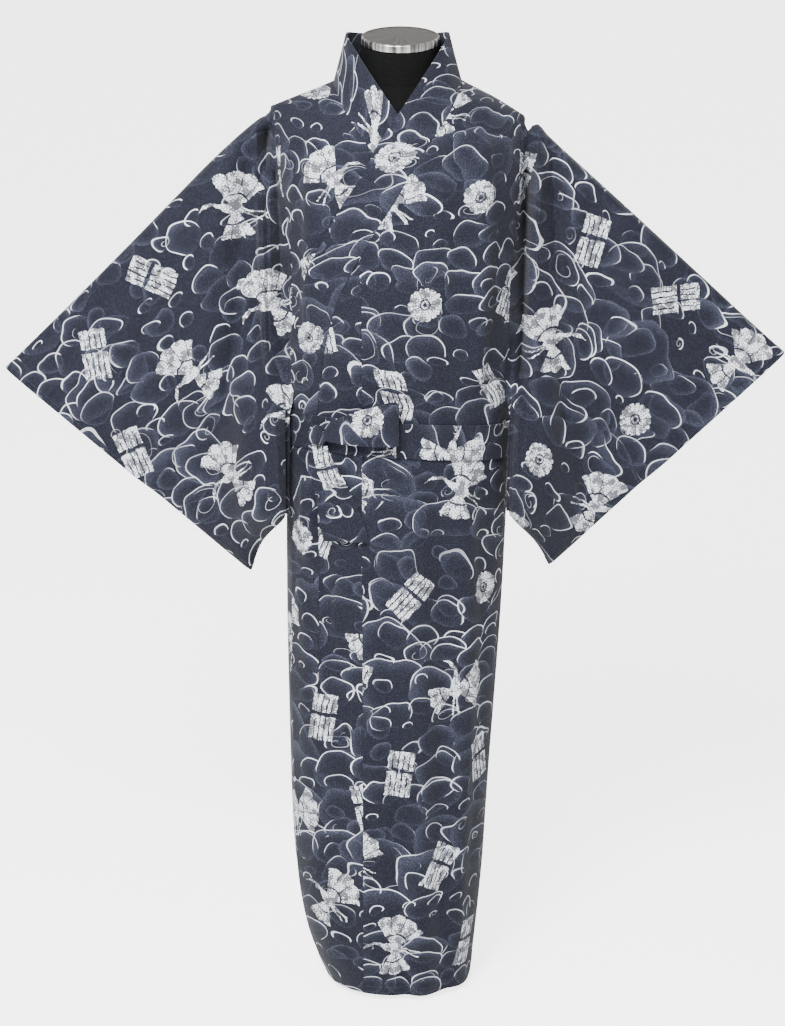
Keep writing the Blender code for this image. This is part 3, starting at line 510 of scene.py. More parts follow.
def collar_grid():
    """Rows of the collar from the outer front edge, round the neck, to the under front edge."""
    rising = front_stations() + shoulder_stations()
    grid = [collar_front_row(station, LEFT) for station in rising]
    grid += [collar_back_row(station, LEFT) for station in NECK_STATIONS]
    grid += [collar_back_row(station, RIGHT) for station in reversed(NECK_STATIONS[:-1])]
    return grid + [collar_front_row(station, RIGHT) for station in reversed(rising)]


print("collar rows:", len(collar_grid()))

# %% [markdown]
# ## Sleeves and sash
#
# A yukata sleeve is a rectangle folded on its top edge. It is sewn to the body at the armhole and
# to itself below, and its front lower edge hangs free of the body. On the form the two sleeves
# stand out like wings, so each is a flat tube between the armhole and the cuff's two corners.

# %% Sleeve sizes and grids
CuffCorner = namedtuple("CuffCorner", "x height")
Cuff = namedtuple("Cuff", "top bottom")
CUFFS = {
    RIGHT: Cuff(CuffCorner(-0.594, 0.997), CuffCorner(-0.230, 0.677)),
    LEFT: Cuff(CuffCorner(0.578, 1.020), CuffCorner(0.230, 0.686)),
}
SleeveStation = namedtuple("SleeveStation", "reach lift front back fold")
SLEEVE_STATIONS = {
    RIGHT: [SleeveStation(*row) for row in [
        (0.0100, -0.003, -0.032, 0.036, 0.008), (0.0190, -0.004, -0.032, 0.035, 0.014),
        (0.0280, 0.000, -0.034, 0.034, 0.004), (0.0380, 0.002, -0.034, 0.034, -0.001),
        (0.0520, 0.004, -0.034, 0.033, 0.012), (0.0760, 0.006, -0.034, 0.032, 0.002),
        (0.1300, 0.008, -0.036, 0.029, -0.004), (0.2100, 0.006, -0.036, 0.024, 0.000),
        (0.3000, 0.003, -0.034, 0.018, 0.003), (0.3900, 0.001, -0.031, 0.012, 0.000),
        (0.4800, 0.000, -0.028, 0.006, -0.002), (1.0000, 0.000, -0.026, 0.000, 0.000),
    ]],
    LEFT: [SleeveStation(*row) for row in [
        (0.0090, -0.010, -0.032, 0.034, 0.008), (0.0170, -0.016, -0.030, 0.034, 0.015),
        (0.0260, -0.002, -0.032, 0.034, 0.006), (0.0360, 0.007, -0.034, 0.034, -0.002),
        (0.0520, 0.004, -0.034, 0.033, 0.008), (0.0760, 0.003, -0.034, 0.032, 0.000),
        (0.1300, 0.003, -0.036, 0.029, -0.003), (0.2100, 0.003, -0.036, 0.024, 0.002),
        (0.3000, 0.002, -0.034, 0.018, -0.002), (0.3900, 0.001, -0.031, 0.012, 0.002),
        (0.4600, 0.000, -0.028, 0.006, 0.000), (1.0000, 0.000, -0.026, 0.000, 0.000),
    ]],
}
SLEEVE_FREE_ROWS = [0.943, 0.905, 0.865, 0.825, 0.797, 0.785]
SLEEVE_FLATNESS = 5.0
SLEEVE_ROOT_GAP = 0.0008
SLEEVE_ROOT_RUN = 0.007
SEWN_HALF = 0.0014
SEWN_Y = 0.002
FOLD_FADE = 0.25
BOTTOM_SPREAD = 0.6
PINCH_LEVEL = 0.55
PINCH_RUN = 0.15
PINCH_REACH = 0.016
UNDERARM_CLEAR = 0.0035
BELT_CLEAR = 0.0115
BELT_CLEAR_DROP = 0.022
HAND_OPENING = 0.52
HAND_OPENING_EASE = 0.06
SEWN_CUFF = 0.0022


def armhole_edges(side):
    """Edge points of the armhole and their neighbours on the panel, front bottom to back bottom."""
    grid = body_grid(side)
    first = BODY_ROWS.index(UNDERARM_HEIGHT)
    last = len(grid) - 1 - first
    rows = grid[first : last + 1]
    return [(row[0], row[1]) for row in rows]


def sleeve_root(side, edges, face):
    """Root points of one face of a sleeve, top to bottom, and the way each leaves the body."""
    roots = []
    for edge, inside in edges[:-1]:
        way = (edge - inside).normalized()
        roots.append((edge + way * SLEEVE_ROOT_GAP, way))
    for height in [UNDERARM_HEIGHT] + SLEEVE_FREE_ROWS:
        drop = (UNDERARM_HEIGHT - height) / BELT_CLEAR_DROP
        clear = mix(UNDERARM_CLEAR, BELT_CLEAR, ease(drop))
        x = middle(height) + side * (half_width(height) + clear)
        y = SEWN_Y * ease(drop) + face * SEWN_HALF
        roots.append((Vector((x, y, height)), Vector((side, 0.0, 0.0))))
    return roots


def sleeve_profile(level):
    """Fullness of a sleeve from its top fold, level 0, to its bottom seam, level 1."""
    return (1.0 - abs(2.0 * level - 1.0) ** SLEEVE_FLATNESS) ** (1.0 / SLEEVE_FLATNESS)


def sleeve_column(side, station, top_root, bottom_root, face, levels):
    """Points of one sleeve station, top fold to bottom seam, on one face."""
    cuff = CUFFS[side]
    starts = [Vector((root.x, 0.0, root.z)) for root in (top_root, bottom_root)]
    ends = [Vector((corner.x, 0.0, corner.height)) for corner in (cuff.top, cuff.bottom)]
    reach = min(station.reach / (starts[0] - ends[0]).length, 1.0)
    top = mix(starts[0], ends[0], reach)
    top.z += station.lift
    bottom = mix(starts[1], ends[1], reach**BOTTOM_SPREAD)
    centre = (station.front + station.back) / 2.0
    side_y = station.front if face == FRONT else station.back
    narrowing = 1.0 - (starts[1] - ends[1]).length / (starts[0] - ends[0]).length
    points = []
    for level in levels:
        point = mix(top, bottom, level)
        out_y = side_y
        if reach == 1.0:
            sewn = ease((level - HAND_OPENING) / HAND_OPENING_EASE)
            out_y = mix(side_y, centre + face * SEWN_CUFF, sewn)
        pinched = ease((level - PINCH_LEVEL) / PINCH_RUN) * math.exp(-station.reach / PINCH_REACH)
        puff = (1.0 - pinched) * sleeve_profile(level)
        fade = ease(level / 0.06) * ease((1.0 - level) / FOLD_FADE) * (1.0 - narrowing * level)
        point.y = mix(centre, out_y, puff) - face * station.fold * fade * (1.0 - pinched)
        points.append(point)
    return points


def sleeve_grid(side):
    """Points of a sleeve: rows run round its ring, columns from the armhole to the cuff."""
    edges = armhole_edges(side)
    half = len(edges) // 2
    grids = {}
    for face, run in ((FRONT, edges[: half + 1][::-1]), (BACK, edges[half:])):
        roots = sleeve_root(side, run, face)
        ends = (roots[0][0], roots[-1][0])
        drop = ends[0].z - ends[1].z
        levels = [(ends[0].z - root.z) / drop for root, way in roots]
        stations = [sleeve_column(side, s, *ends, face, levels) for s in SLEEVE_STATIONS[side]]
        near = []
        for (root, way), after in zip(roots, stations[0]):
            near.append(root + way * min(SLEEVE_ROOT_RUN, 0.35 * (after - root).length))
        grids[face] = [[root for root, way in roots], near] + stations
    last = len(grids[FRONT][0]) - 1
    ring = [(FRONT, level) for level in range(last, -1, -1)]
    ring += [(BACK, level) for level in range(1, last)]
    return [[column[level] for column in grids[face]] for face, level in ring]


print("sleeve rows:", len(sleeve_grid(LEFT)))

# %% The sash and its half bow
BELT_HEIGHT = 0.902
BELT_FRONT_RISE = 0.009
BELT_SIDE_DROP = 0.012
BELT_WIDTH = 0.053
BELT_INSET = -0.0033
BELT_SEGMENTS = 64
BELT_COLUMNS = 3
BowStation = namedtuple("BowStation", "x height half_width out")
LOOP_STATIONS = [BowStation(*row) for row in [
    (-0.1042, 0.921, 0.012, 0.0085), (-0.085, 0.926, 0.017, 0.0080),
    (-0.060, 0.932, 0.024, 0.0078), (-0.032, 0.937, 0.029, 0.0078),
    (-0.012, 0.940, 0.031, 0.0080), (-0.003, 0.940, 0.031, 0.0130),
    (-0.004, 0.940, 0.031, 0.0200), (-0.016, 0.940, 0.031, 0.0235),
    (-0.040, 0.938, 0.029, 0.0245), (-0.066, 0.934, 0.024, 0.0240),
    (-0.086, 0.929, 0.018, 0.0215), (-0.1042, 0.924, 0.012, 0.0160),
]]
TAIL_STATIONS = [BowStation(*row) for row in [
    (-0.1160, 0.9003, 0.011, 0.0085), (-0.1130, 0.884, 0.014, 0.0105),
    (-0.1060, 0.862, 0.019, 0.0100), (-0.0960, 0.830, 0.024, 0.0070),
    (-0.0860, 0.795, 0.029, 0.0060), (-0.0765, 0.756, 0.032, 0.0065),
]]
TAIL_COLUMNS = 4
LOOP_COLUMNS = 4
LOOP_LIFT = 0.007
TAIL_LIFT = 0.009
KNOT_CENTRE = (-0.1170, 0.9160)
KNOT_OUT = 0.0143
KNOT_HALF = Vector((0.0150, 0.0088, 0.0160))
KNOT_PLEATS = 7.0
KNOT_PLEAT_DEPTH = 0.085
KNOT_PITCH = (0.0022, -0.0016)


def belt_height(angle):
    """Height of the middle of the sash at a ring angle."""
    turn = math.radians(angle)
    return BELT_HEIGHT + BELT_FRONT_RISE * math.cos(turn) - BELT_SIDE_DROP * math.sin(turn)


def belt_grid():
    """Rows of the sash round the waist."""
    rows = []
    for segment in range(BELT_SEGMENTS):
        angle = 360.0 * segment / BELT_SEGMENTS
        row = []
        for column in range(BELT_COLUMNS + 1):
            height = belt_height(angle) + BELT_WIDTH * (column / BELT_COLUMNS - 0.5)
            row.append(ring_point(height, angle, BELT_INSET))
        rows.append(row)
    return rows


def bow_point(x, height, out):
    """Point in front of the robe, a distance out from the torso surface."""
    surface = torso_point(x, height, FRONT)
    aside = torso_point(x + 0.002, height, FRONT)
    along = (aside - surface).normalized()
    outwards = Vector((along.y, -along.x, 0.0))
    if outwards.y > 0.0:
        outwards.negate()
    return surface + outwards * out


def loop_grid():
    """Rows of the bow loop: out from the knot, folded over and back, its lower edge lifted."""
    grid = []
    for station in LOOP_STATIONS:
        row = []
        for column in range(LOOP_COLUMNS + 1):
            across = 2.0 * column / LOOP_COLUMNS - 1.0
            height = station.height + across * station.half_width
            row.append(bow_point(station.x, height, station.out + LOOP_LIFT * (0.5 - 0.5 * across)))
        grid.append(row)
    return grid


def tail_grid():
    """Rows of the sash's hanging end."""
    grid = []
    for station in TAIL_STATIONS:
        row = []
        for column in range(TAIL_COLUMNS + 1):
            across = 2.0 * column / TAIL_COLUMNS - 1.0
            crown = 0.002 * (1.0 - across * across) + TAIL_LIFT * max(-across, 0.0) ** 2
            x = station.x + across * station.half_width
            row.append(bow_point(x, station.height, station.out + crown))
        grid.append(row)
    return grid


print("sash rows:", len(belt_grid()), len(loop_grid()), len(tail_grid()))

# %% [markdown]
# ## From coarse rows to cloth
#
# Cubic curves through the coarse rows give points every few millimetres, enough to carry soft
# folds. The wall is two skins of that grid with a rim all round, and its UV map is the distance
# walked along and across the cloth, so that one print fits every piece at its real size.

# %% Refine a grid
SPACING = 0.007


def curve_rows(points, spacing, closed):
    """New rows on cubic curves through a grid's rows, and the place of each old row among them."""
    if closed:
        points = np.concatenate([points[-1:], points, points[:2]])
    chord = np.linalg.norm(np.diff(points, axis=0), axis=2).mean(axis=1)
    slope = np.diff(points, axis=0) / chord[:, None, None]
    weight = (chord[:-1] / (chord[:-1] + chord[1:]))[:, None, None]
    inner = slope[:-1] * (1.0 - weight) + slope[1:] * weight
    tangent = np.concatenate([slope[:1], inner, slope[-1:]])
    first, last = (1, len(points) - 2) if closed else (0, len(points) - 1)
    rows, places = [], []
    for index in range(first, last):
        places.append(len(rows))
        steps = max(int(round(chord[index] / spacing)), 1)
        for step in range(steps):
            t = step / steps
            a = 2 * t**3 - 3 * t**2 + 1
            b = t**3 - 2 * t**2 + t
            c = 3 * t**2 - 2 * t**3
            d = t**3 - t**2
            lean = tangent[index] * b + tangent[index + 1] * d
            rows.append(points[index] * a + points[index + 1] * c + lean * chord[index])
    if not closed:
        places.append(len(rows))
        rows.append(points[-1])
    return np.array(rows), places


def refine(grid, spacing=SPACING, closed=False):
    """Fine grid through a coarse one, with the places of the coarse rows and columns."""
    points = np.array([[tuple(point) for point in row] for row in grid])
    points, row_places = curve_rows(points, spacing, closed)
    turned, column_places = curve_rows(points.transpose(1, 0, 2), spacing, False)
    return turned.transpose(1, 0, 2), row_places, column_places


fine, row_places, column_places = refine(body_grid(LEFT))
print("body panel:", fine.shape)


# %% Normals, cloth distances and the closed wall
def normals_of(points, closed=False):
    """Unit normals of a fine grid."""
    if closed:
        along = np.roll(points, -1, 0) - np.roll(points, 1, 0)
    else:
        along = np.gradient(points, axis=0)
    across = np.gradient(points, axis=1)
    normals = np.cross(along, across)
    return normals / np.maximum(np.linalg.norm(normals, axis=2, keepdims=True), 1e-12)


def cloth_distances(points):
    """Distances across and along the cloth at each point of a fine grid."""
    along = np.zeros(points.shape[:2])
    across = np.zeros(points.shape[:2])
    along[1:] = np.cumsum(np.linalg.norm(np.diff(points, axis=0), axis=2), axis=0)
    across[:, 1:] = np.cumsum(np.linalg.norm(np.diff(points, axis=1), axis=2), axis=1)
    return across, along


def area_of(points, closed=False, absent=None):
    """Area of a fine grid's cells."""
    if closed:
        points = np.concatenate([points, points[:1]])
    diagonal_a = points[1:, 1:] - points[:-1, :-1]
    diagonal_b = points[1:, :-1] - points[:-1, 1:]
    cells = np.linalg.norm(np.cross(diagonal_a, diagonal_b), axis=2) / 2.0
    if absent is not None:
        cells = np.where(absent, 0.0, cells)
    return float(cells.sum())


def make_shell(name, verts, faces, uvs):
    """Object of a closed shell with a UV map, its faces turned outwards."""
    corners = verts[[face + face[-1:] * (4 - len(face)) for face in faces]] - verts.mean(axis=0)
    a, b, c, d = corners.transpose(1, 0, 2)
    if (a * (np.cross(b, c) + np.cross(c, d))).sum() < 0.0:
        ends = np.cumsum([0] + [len(face) for face in faces])
        uvs = [uv for start, end in zip(ends, ends[1:]) for uv in uvs[start:end][::-1]]
        faces = [face[::-1] for face in faces]
    mesh = bpy.data.meshes.new(name)
    mesh.from_pydata(verts.tolist(), [], faces)
    mesh.uv_layers.new(name="cloth").uv.foreach_set("vector", np.array(uvs).ravel())
    mesh.shade_smooth()
    piece = bpy.data.objects.new(name, mesh)
    bpy.context.scene.collection.objects.link(piece)
    return piece


def make_cloth(name, points, thickness, uv, closed=False, absent=None):
    """Closed thin wall about a fine grid. absent marks the cells that are left out."""
    rows, columns = points.shape[:2]
    steps = rows if closed else rows - 1
    half = np.broadcast_to(thickness, points.shape[:2]) / 2.0
    lift = normals_of(points, closed) * half[..., None]
    verts = np.concatenate([(points + lift).reshape(-1, 3), (points - lift).reshape(-1, 3)])
    present = np.ones((steps, columns - 1), bool) if absent is None else ~absent
    u, v = uv
    if closed:
        gap = np.linalg.norm(points[0] - points[-1], axis=1)
        u = np.concatenate([u, u[-1:]])
        v = np.concatenate([v, v[-1:] + gap])
    faces, corner_uvs = [], []

    def add(corners):
        faces.append([s * rows * columns + (r % rows) * columns + c for s, r, c in corners])
        corner_uvs.extend((u[r, c], v[r, c]) for s, r, c in corners)

    for r in range(steps):
        for c in range(columns - 1):
            if not present[r, c]:
                continue
            ring = [(r, c), (r, c + 1), (r + 1, c + 1), (r + 1, c)]
            add([(0, *p) for p in ring])
            add([(1, *p) for p in reversed(ring)])
            below = (r - 1) % steps if closed else r - 1
            above = (r + 1) % steps if closed else r + 1
            for index, (i, j) in enumerate([(below, c), (r, c + 1), (above, c), (r, c - 1)]):
                if 0 <= i < steps and 0 <= j < columns - 1 and present[i, j]:
                    continue
                start, end = ring[index], ring[(index + 1) % 4]
                add([(0, *end), (0, *start), (1, *start), (1, *end)])
    piece = make_shell(name, verts, faces, corner_uvs)
    piece.data.set_sharp_from_angle(angle=math.radians(50.0))
    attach(piece, "root")
    return piece


print("one square metre is", area_of(np.array([[(0, 0, 0), (1, 0, 0)], [(0, 0, 1), (1, 0, 1)]])))

# %% [markdown]
# ## Soft folds
#
# Cotton that hangs from the shoulders and is held at the waist falls in a few long, shallow
# valleys and rolls. Each is one row of a table: a line of points on the front or the back, how
# wide it is and how deep. Every piece reads the same table, so sewn edges move together.

# %% Folds of the body
Fold = namedtuple("Fold", "width depth line")
FRONT_FOLDS = [Fold(*row) for row in [
    (0.012, -0.0065, [(0.052, 0.870), (0.066, 0.640), (0.062, 0.300), (0.074, 0.020)]),
    (0.017, 0.0090, [(0.094, 0.850), (0.104, 0.500), (0.092, 0.020)]),
    (0.011, -0.0060, [(0.128, 0.850), (0.126, 0.560), (0.108, 0.240), (0.098, 0.030)]),
    (0.011, -0.0060, [(-0.024, 0.700), (-0.016, 0.440), (0.004, 0.120), (0.010, 0.020)]),
    (0.016, 0.0080, [(0.022, 0.850), (0.032, 0.500), (0.036, 0.020)]),
    (0.012, -0.0045, [(-0.086, 0.640), (-0.084, 0.350), (-0.074, 0.080)]),
    (0.007, -0.0100, [(-0.119, 0.872), (-0.1205, 0.800), (-0.116, 0.740), (-0.107, 0.500)]),
    (0.009, 0.0120, [(-0.137, 0.862), (-0.1385, 0.800), (-0.138, 0.730)]),
    (0.012, 0.0045, [(-0.140, 0.640), (-0.138, 0.560), (-0.126, 0.200)]),
    (0.010, -0.0060, [(0.144, 1.345), (0.152, 1.250), (0.148, 1.090), (0.126, 0.960)]),
    (0.012, 0.0100, [(0.120, 1.345), (0.126, 1.200), (0.112, 1.000)]),
    (0.010, -0.0060, [(0.094, 1.330), (0.088, 1.180), (0.066, 0.960)]),
    (0.013, 0.0040, [(0.060, 1.300), (0.052, 1.130), (0.030, 0.970)]),
    (0.009, -0.0050, [(-0.148, 1.340), (-0.152, 1.230), (-0.150, 1.060)]),
    (0.013, 0.0055, [(-0.126, 1.345), (-0.128, 1.220), (-0.132, 1.080)]),
    (0.010, -0.0035, [(-0.100, 1.330), (-0.096, 1.230), (-0.104, 1.150)]),
    (0.010, -0.0030, [(0.120, 0.985), (0.060, 0.972), (0.000, 0.980)]),
    (0.008, -0.0030, [(-0.070, 0.990), (-0.020, 0.975), (0.020, 0.970)]),
    (0.010, -0.0040, [(0.030, 0.845), (0.075, 0.835), (0.120, 0.850)]),
]]
BACK_FOLDS = [Fold(*row) for row in [
    (0.020, -0.0045, [(-0.090, 0.870), (-0.098, 0.500), (-0.085, 0.020)]),
    (0.022, 0.0050, [(-0.050, 0.870), (-0.056, 0.450), (-0.048, 0.020)]),
    (0.015, -0.0035, [(0.020, 0.860), (0.012, 0.500), (0.020, 0.020)]),
    (0.022, 0.0050, [(0.070, 0.870), (0.080, 0.500), (0.074, 0.020)]),
    (0.016, -0.0040, [(0.112, 0.860), (0.118, 0.500), (0.104, 0.020)]),
    (0.016, -0.0035, [(0.110, 1.330), (0.090, 1.150), (0.080, 0.960)]),
    (0.016, -0.0035, [(-0.120, 1.320), (-0.095, 1.150), (-0.080, 0.960)]),
]]

# How far folds may rise and sink, and where they fade: low and high ends in metres
OVER_RISE = 0.0120
UNDER_RISE = 0.0010
UNDER_SINK = 0.0004
SINK_ON_FORM = 0.0028
SINK_BELOW = 0.0070
SIDE_FADE = (0.02, 0.07)
BELT_FADE = (0.02, 0.09)
SHOULDER_FADE = (1.33, 1.39)
FORM_STARTS = (0.68, 0.78)


def fold_sum(folds, x, z):
    """Sum of soft folds at places x, z."""
    total = np.zeros(np.shape(x))
    for fold in folds:
        line = np.array(fold.line)
        nearest = np.full(np.shape(x), np.inf)
        for start, step in zip(line, np.diff(line, axis=0)):
            t = ((x - start[0]) * step[0] + (z - start[1]) * step[1]) / (step @ step)
            t = np.clip(t, 0.0, 1.0)
            away = np.hypot(x - start[0] - t * step[0], z - start[1] - t * step[1])
            nearest = np.minimum(nearest, away)
        total += fold.depth * np.exp(-((nearest / fold.width) ** 2))
    return total


def smooth(value, low, high):
    """Smooth step of an array from 0 at low to 1 at high."""
    t = np.clip((value - low) / (high - low), 0.0, 1.0)
    return t * t * (3.0 - 2.0 * t)


def drape(points, under):
    """Outward movement of the body's cloth at points; under is 1 where a layer lies over it."""
    x, y, z = points[..., 0], points[..., 1], points[..., 2]
    front = smooth(-y, *SIDE_FADE) * fold_sum(FRONT_FOLDS, x, z)
    back = smooth(y, *SIDE_FADE) * fold_sum(BACK_FOLDS, x, z)
    held = smooth(np.abs(z - BELT_HEIGHT), *BELT_FADE) * (1.0 - smooth(z, *SHOULDER_FADE))
    move = (front + back) * held
    high = OVER_RISE + (UNDER_RISE - OVER_RISE) * under
    low = -SINK_BELOW + (SINK_BELOW - SINK_ON_FORM) * smooth(z, *FORM_STARTS) - UNDER_SINK * under
    return np.where(move > 0.0, high * np.tanh(move / high), low * np.tanh(move / low))


print("fold depth at the hem:", float(fold_sum(FRONT_FOLDS, np.array(0.07), np.array(0.1))))

# %% [markdown]
# ## Body, overlaps and collar
#
# Each panel is refined, moved by the folds along its own normals, and given its wall. Every
# layer keeps within limits of its own: the one that lies over may rise by 12 mm and the one
# under it by 1 mm, so that it doesn't push through, and neither sinks into the form.

# %% Cut and drape the panels
COTTON = 0.0015
COLLAR_COTTON = 0.0030
SASH_COTTON = 0.0024
laid = {}
CLOTH_START = {
    "body_left": (0.00, 0.00), "body_right": (1.37, 0.42), "okumi_left": (2.71, 0.21),
    "okumi_right": (3.62, 0.10), "collar": (4.33, 0.00), "sleeve_left": (5.20, 0.60),
    "sleeve_right": (6.45, 0.90), "belt_band": (7.70, 0.00), "belt_loop": (8.30, 0.20),
    "belt_tail": (8.90, 0.05),
}


def dress(node, points, thickness, uv=None, closed=False, absent=None):
    """Make one cloth piece in place of a node, with its UV map moved to its start on the cloth, and
    keep its points.
    """
    uv = uv or cloth_distances(points)
    shift = CLOTH_START[node]
    moved = (uv[0] + shift[0], uv[1] + shift[1])
    piece = make_cloth("cloth_" + node, points, thickness, moved, closed, absent)
    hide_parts(node)
    laid[node] = points
    return piece


def straight_grain(points):
    """Cloth distances of a body panel, counted from each hem so that the print stays level."""
    across, along = cloth_distances(points)
    shoulder = int(points[..., 2].mean(axis=1).argmax())
    total = along[-1:]
    past = smooth(along - along[shoulder], 0.0, 0.030)
    return across, along + past * (total.mean() - total)


def fall(points, under, sign):
    """Fine grid moved outwards by the folds, between the limits of its layer."""
    return points + normals_of(points) * (sign * drape(points, under))[..., None]


def hem_band(points, wide=0.020):
    """1 within a turned hem's width of both ends of a panel, 0 past it."""
    run = cloth_distances(points)[1]
    return smooth(np.minimum(run, run[-1:] - run), wide + 0.004, wide)


# The outer collar's free edge, x at each height: past it, to the wearer's left, the right
# panel lies under the left one
EDGE_HEIGHTS = [s.free_height for s in COLLAR_RISING] + [1.6]
EDGE_ACROSS = [middle(s.free_height) + s.free_out for s in COLLAR_RISING] + [0.2]

body_cloth = {}
for side, node in ((LEFT, "body_left"), (RIGHT, "body_right")):
    fine, row_places, column_places = refine(body_grid(side))
    covered_to = np.interp(fine[..., 2], EDGE_HEIGHTS, EDGE_ACROSS)
    covered = smooth(fine[..., 0] - covered_to, -0.030, 0.0) * smooth(-fine[..., 1], 0.0, 0.03)
    under = covered if side == RIGHT else 0.0 * covered
    hem = hem_band(fine)
    points = fall(fine, under, side)
    body_cloth[side] = dress(node, points, COTTON * (1.0 + hem), uv=straight_grain(points))

# %% Overlap panels
for side, node, under in ((LEFT, "okumi_left", 0.0), (RIGHT, "okumi_right", 1.0)):
    fine, row_places, column_places = refine(okumi_grid(side))
    first = sum(1 for height in okumi_rows(side) if height < COLLAR_END) - 1
    absent = np.zeros((fine.shape[0] - 1, fine.shape[1] - 1), bool)
    absent[row_places[first]:, column_places[OKUMI_SPLIT]:] = True
    dress(node, fall(fine, under, side), COTTON, absent=absent)

# %% Collar band
fine, row_places, column_places = refine(collar_grid(), 0.007)
under = np.zeros((fine.shape[0], 1))
under[row_places[len(row_places) // 2]:] = 1.0
dress("collar", fall(fine, under, 1), COLLAR_COTTON)

# %% [markdown]
# ## Sleeves
#
# The sleeve tube is refined the same way. Its folds run down beside the armhole and from the
# shoulder towards the cuff. They move the cloth only forwards and back, because the sleeve is
# held out flat, and its free lower edge comes round in front of the body.

# %% Sleeve folds and cloth
SLEEVE_FOLDS = {
    (RIGHT, FRONT): [Fold(*row) for row in [
        (0.009, -0.0260, [(-0.198, 1.352), (-0.203, 1.310), (-0.210, 1.270)]),
        (0.005, -0.0180, [(-0.183, 1.290), (-0.182, 1.200), (-0.180, 1.100)]),
        (0.013, 0.0160, [(-0.200, 1.225), (-0.198, 1.120), (-0.194, 1.000)]),
        (0.012, -0.0130, [(-0.232, 1.300), (-0.240, 1.180), (-0.246, 1.060), (-0.262, 0.940)]),
        (0.022, 0.0080, [(-0.262, 1.290), (-0.286, 1.130), (-0.300, 0.960)]),
        (0.012, -0.0070, [(-0.196, 0.990), (-0.214, 0.880), (-0.224, 0.780)]),
        (0.026, 0.0060, [(-0.330, 1.200), (-0.400, 1.060), (-0.450, 0.960)]),
        (0.018, -0.0055, [(-0.300, 1.250), (-0.370, 1.110), (-0.410, 0.980)]),
        (0.016, -0.0045, [(-0.430, 1.110), (-0.500, 1.010)]),
        (0.014, -0.0050, [(-0.290, 0.930), (-0.270, 0.820)]),
    ]],
    (LEFT, FRONT): [Fold(*row) for row in [
        (0.007, -0.0260, [(0.184, 1.290), (0.184, 1.200), (0.183, 1.080), (0.182, 0.960)]),
        (0.010, 0.0150, [(0.206, 1.320), (0.206, 1.200), (0.203, 1.080), (0.199, 0.960)]),
        (0.010, -0.0190,
         [(0.222, 1.345), (0.228, 1.290), (0.232, 1.180), (0.238, 1.060), (0.246, 0.920)]),
        (0.022, 0.0085, [(0.240, 1.290), (0.256, 1.130), (0.270, 0.960)]),
        (0.012, -0.0060, [(0.196, 0.980), (0.206, 0.880), (0.222, 0.780)]),
        (0.026, 0.0060, [(0.320, 1.200), (0.380, 1.060), (0.440, 0.950)]),
        (0.018, -0.0055, [(0.286, 1.240), (0.340, 1.110), (0.390, 0.960)]),
        (0.016, -0.0045, [(0.420, 1.110), (0.490, 1.020)]),
        (0.014, -0.0050, [(0.300, 0.900), (0.280, 0.800)]),
    ]],
    (RIGHT, BACK): [Fold(*row) for row in [
        (0.014, -0.0080, [(-0.236, 1.310), (-0.262, 1.140), (-0.290, 0.960)]),
        (0.024, 0.0070, [(-0.290, 1.240), (-0.330, 1.080), (-0.360, 0.960)]),
        (0.020, -0.0050, [(-0.370, 1.160), (-0.430, 1.020)]),
    ]],
    (LEFT, BACK): [Fold(*row) for row in [
        (0.014, -0.0080, [(0.232, 1.310), (0.254, 1.140), (0.284, 0.950)]),
        (0.024, 0.0070, [(0.280, 1.240), (0.320, 1.080), (0.350, 0.950)]),
        (0.020, -0.0050, [(0.360, 1.160), (0.430, 1.020)]),
    ]],
}
SWING_IN = {RIGHT: 0.024, LEFT: 0.014}
SWING_FORWARD = {RIGHT: 0.080, LEFT: 0.062}
SWING_UPPER = (1.040, 0.935)
SWING_LOWER = (0.700, 0.800)
SWING_IN_FADE = (0.006, 0.060)
SWING_FORWARD_FADE = (0.010, 0.110)
BODY_SIDE = 0.178


def swing(points, side):
    """The sleeve's free lower edge comes round to the front of the body and lies on it."""
    moved = points.copy()
    x, z = points[..., 0], points[..., 2]
    beside = np.abs(x) - BODY_SIDE
    low = smooth(z, *SWING_UPPER) * smooth(z, *SWING_LOWER)
    inwards = low * (1.0 - smooth(beside, *SWING_IN_FADE))
    forward = low * (1.0 - smooth(beside, *SWING_FORWARD_FADE))
    moved[..., 0] -= side * SWING_IN[side] * inwards
    moved[..., 1] -= SWING_FORWARD[side] * forward
    return moved


def flat_sleeve(points, fold_row, side):
    """Cloth distances of a sleeve laid flat: along its top fold, and down from the fold."""
    start = points[fold_row, 0, [0, 2]]
    along_fold = points[fold_row, -1, [0, 2]] - start
    along_fold = along_fold / np.linalg.norm(along_fold)
    down_from = np.array([along_fold[1], -along_fold[0]]) * side
    flat = points[..., [0, 2]] - start
    u = flat @ along_fold
    v = flat @ down_from
    steps = np.diff(points, axis=0)
    extra = np.linalg.norm(steps, axis=2) - np.linalg.norm(steps[..., [0, 2]], axis=2)
    bent = np.zeros(points.shape[:2])
    bent[1:] = np.cumsum(extra, axis=0)
    bent = np.abs(bent - bent[fold_row])
    back = np.arange(len(points))[:, None] > fold_row
    v = (v + bent) * np.where(back, -1.0, 1.0)
    return u, -v


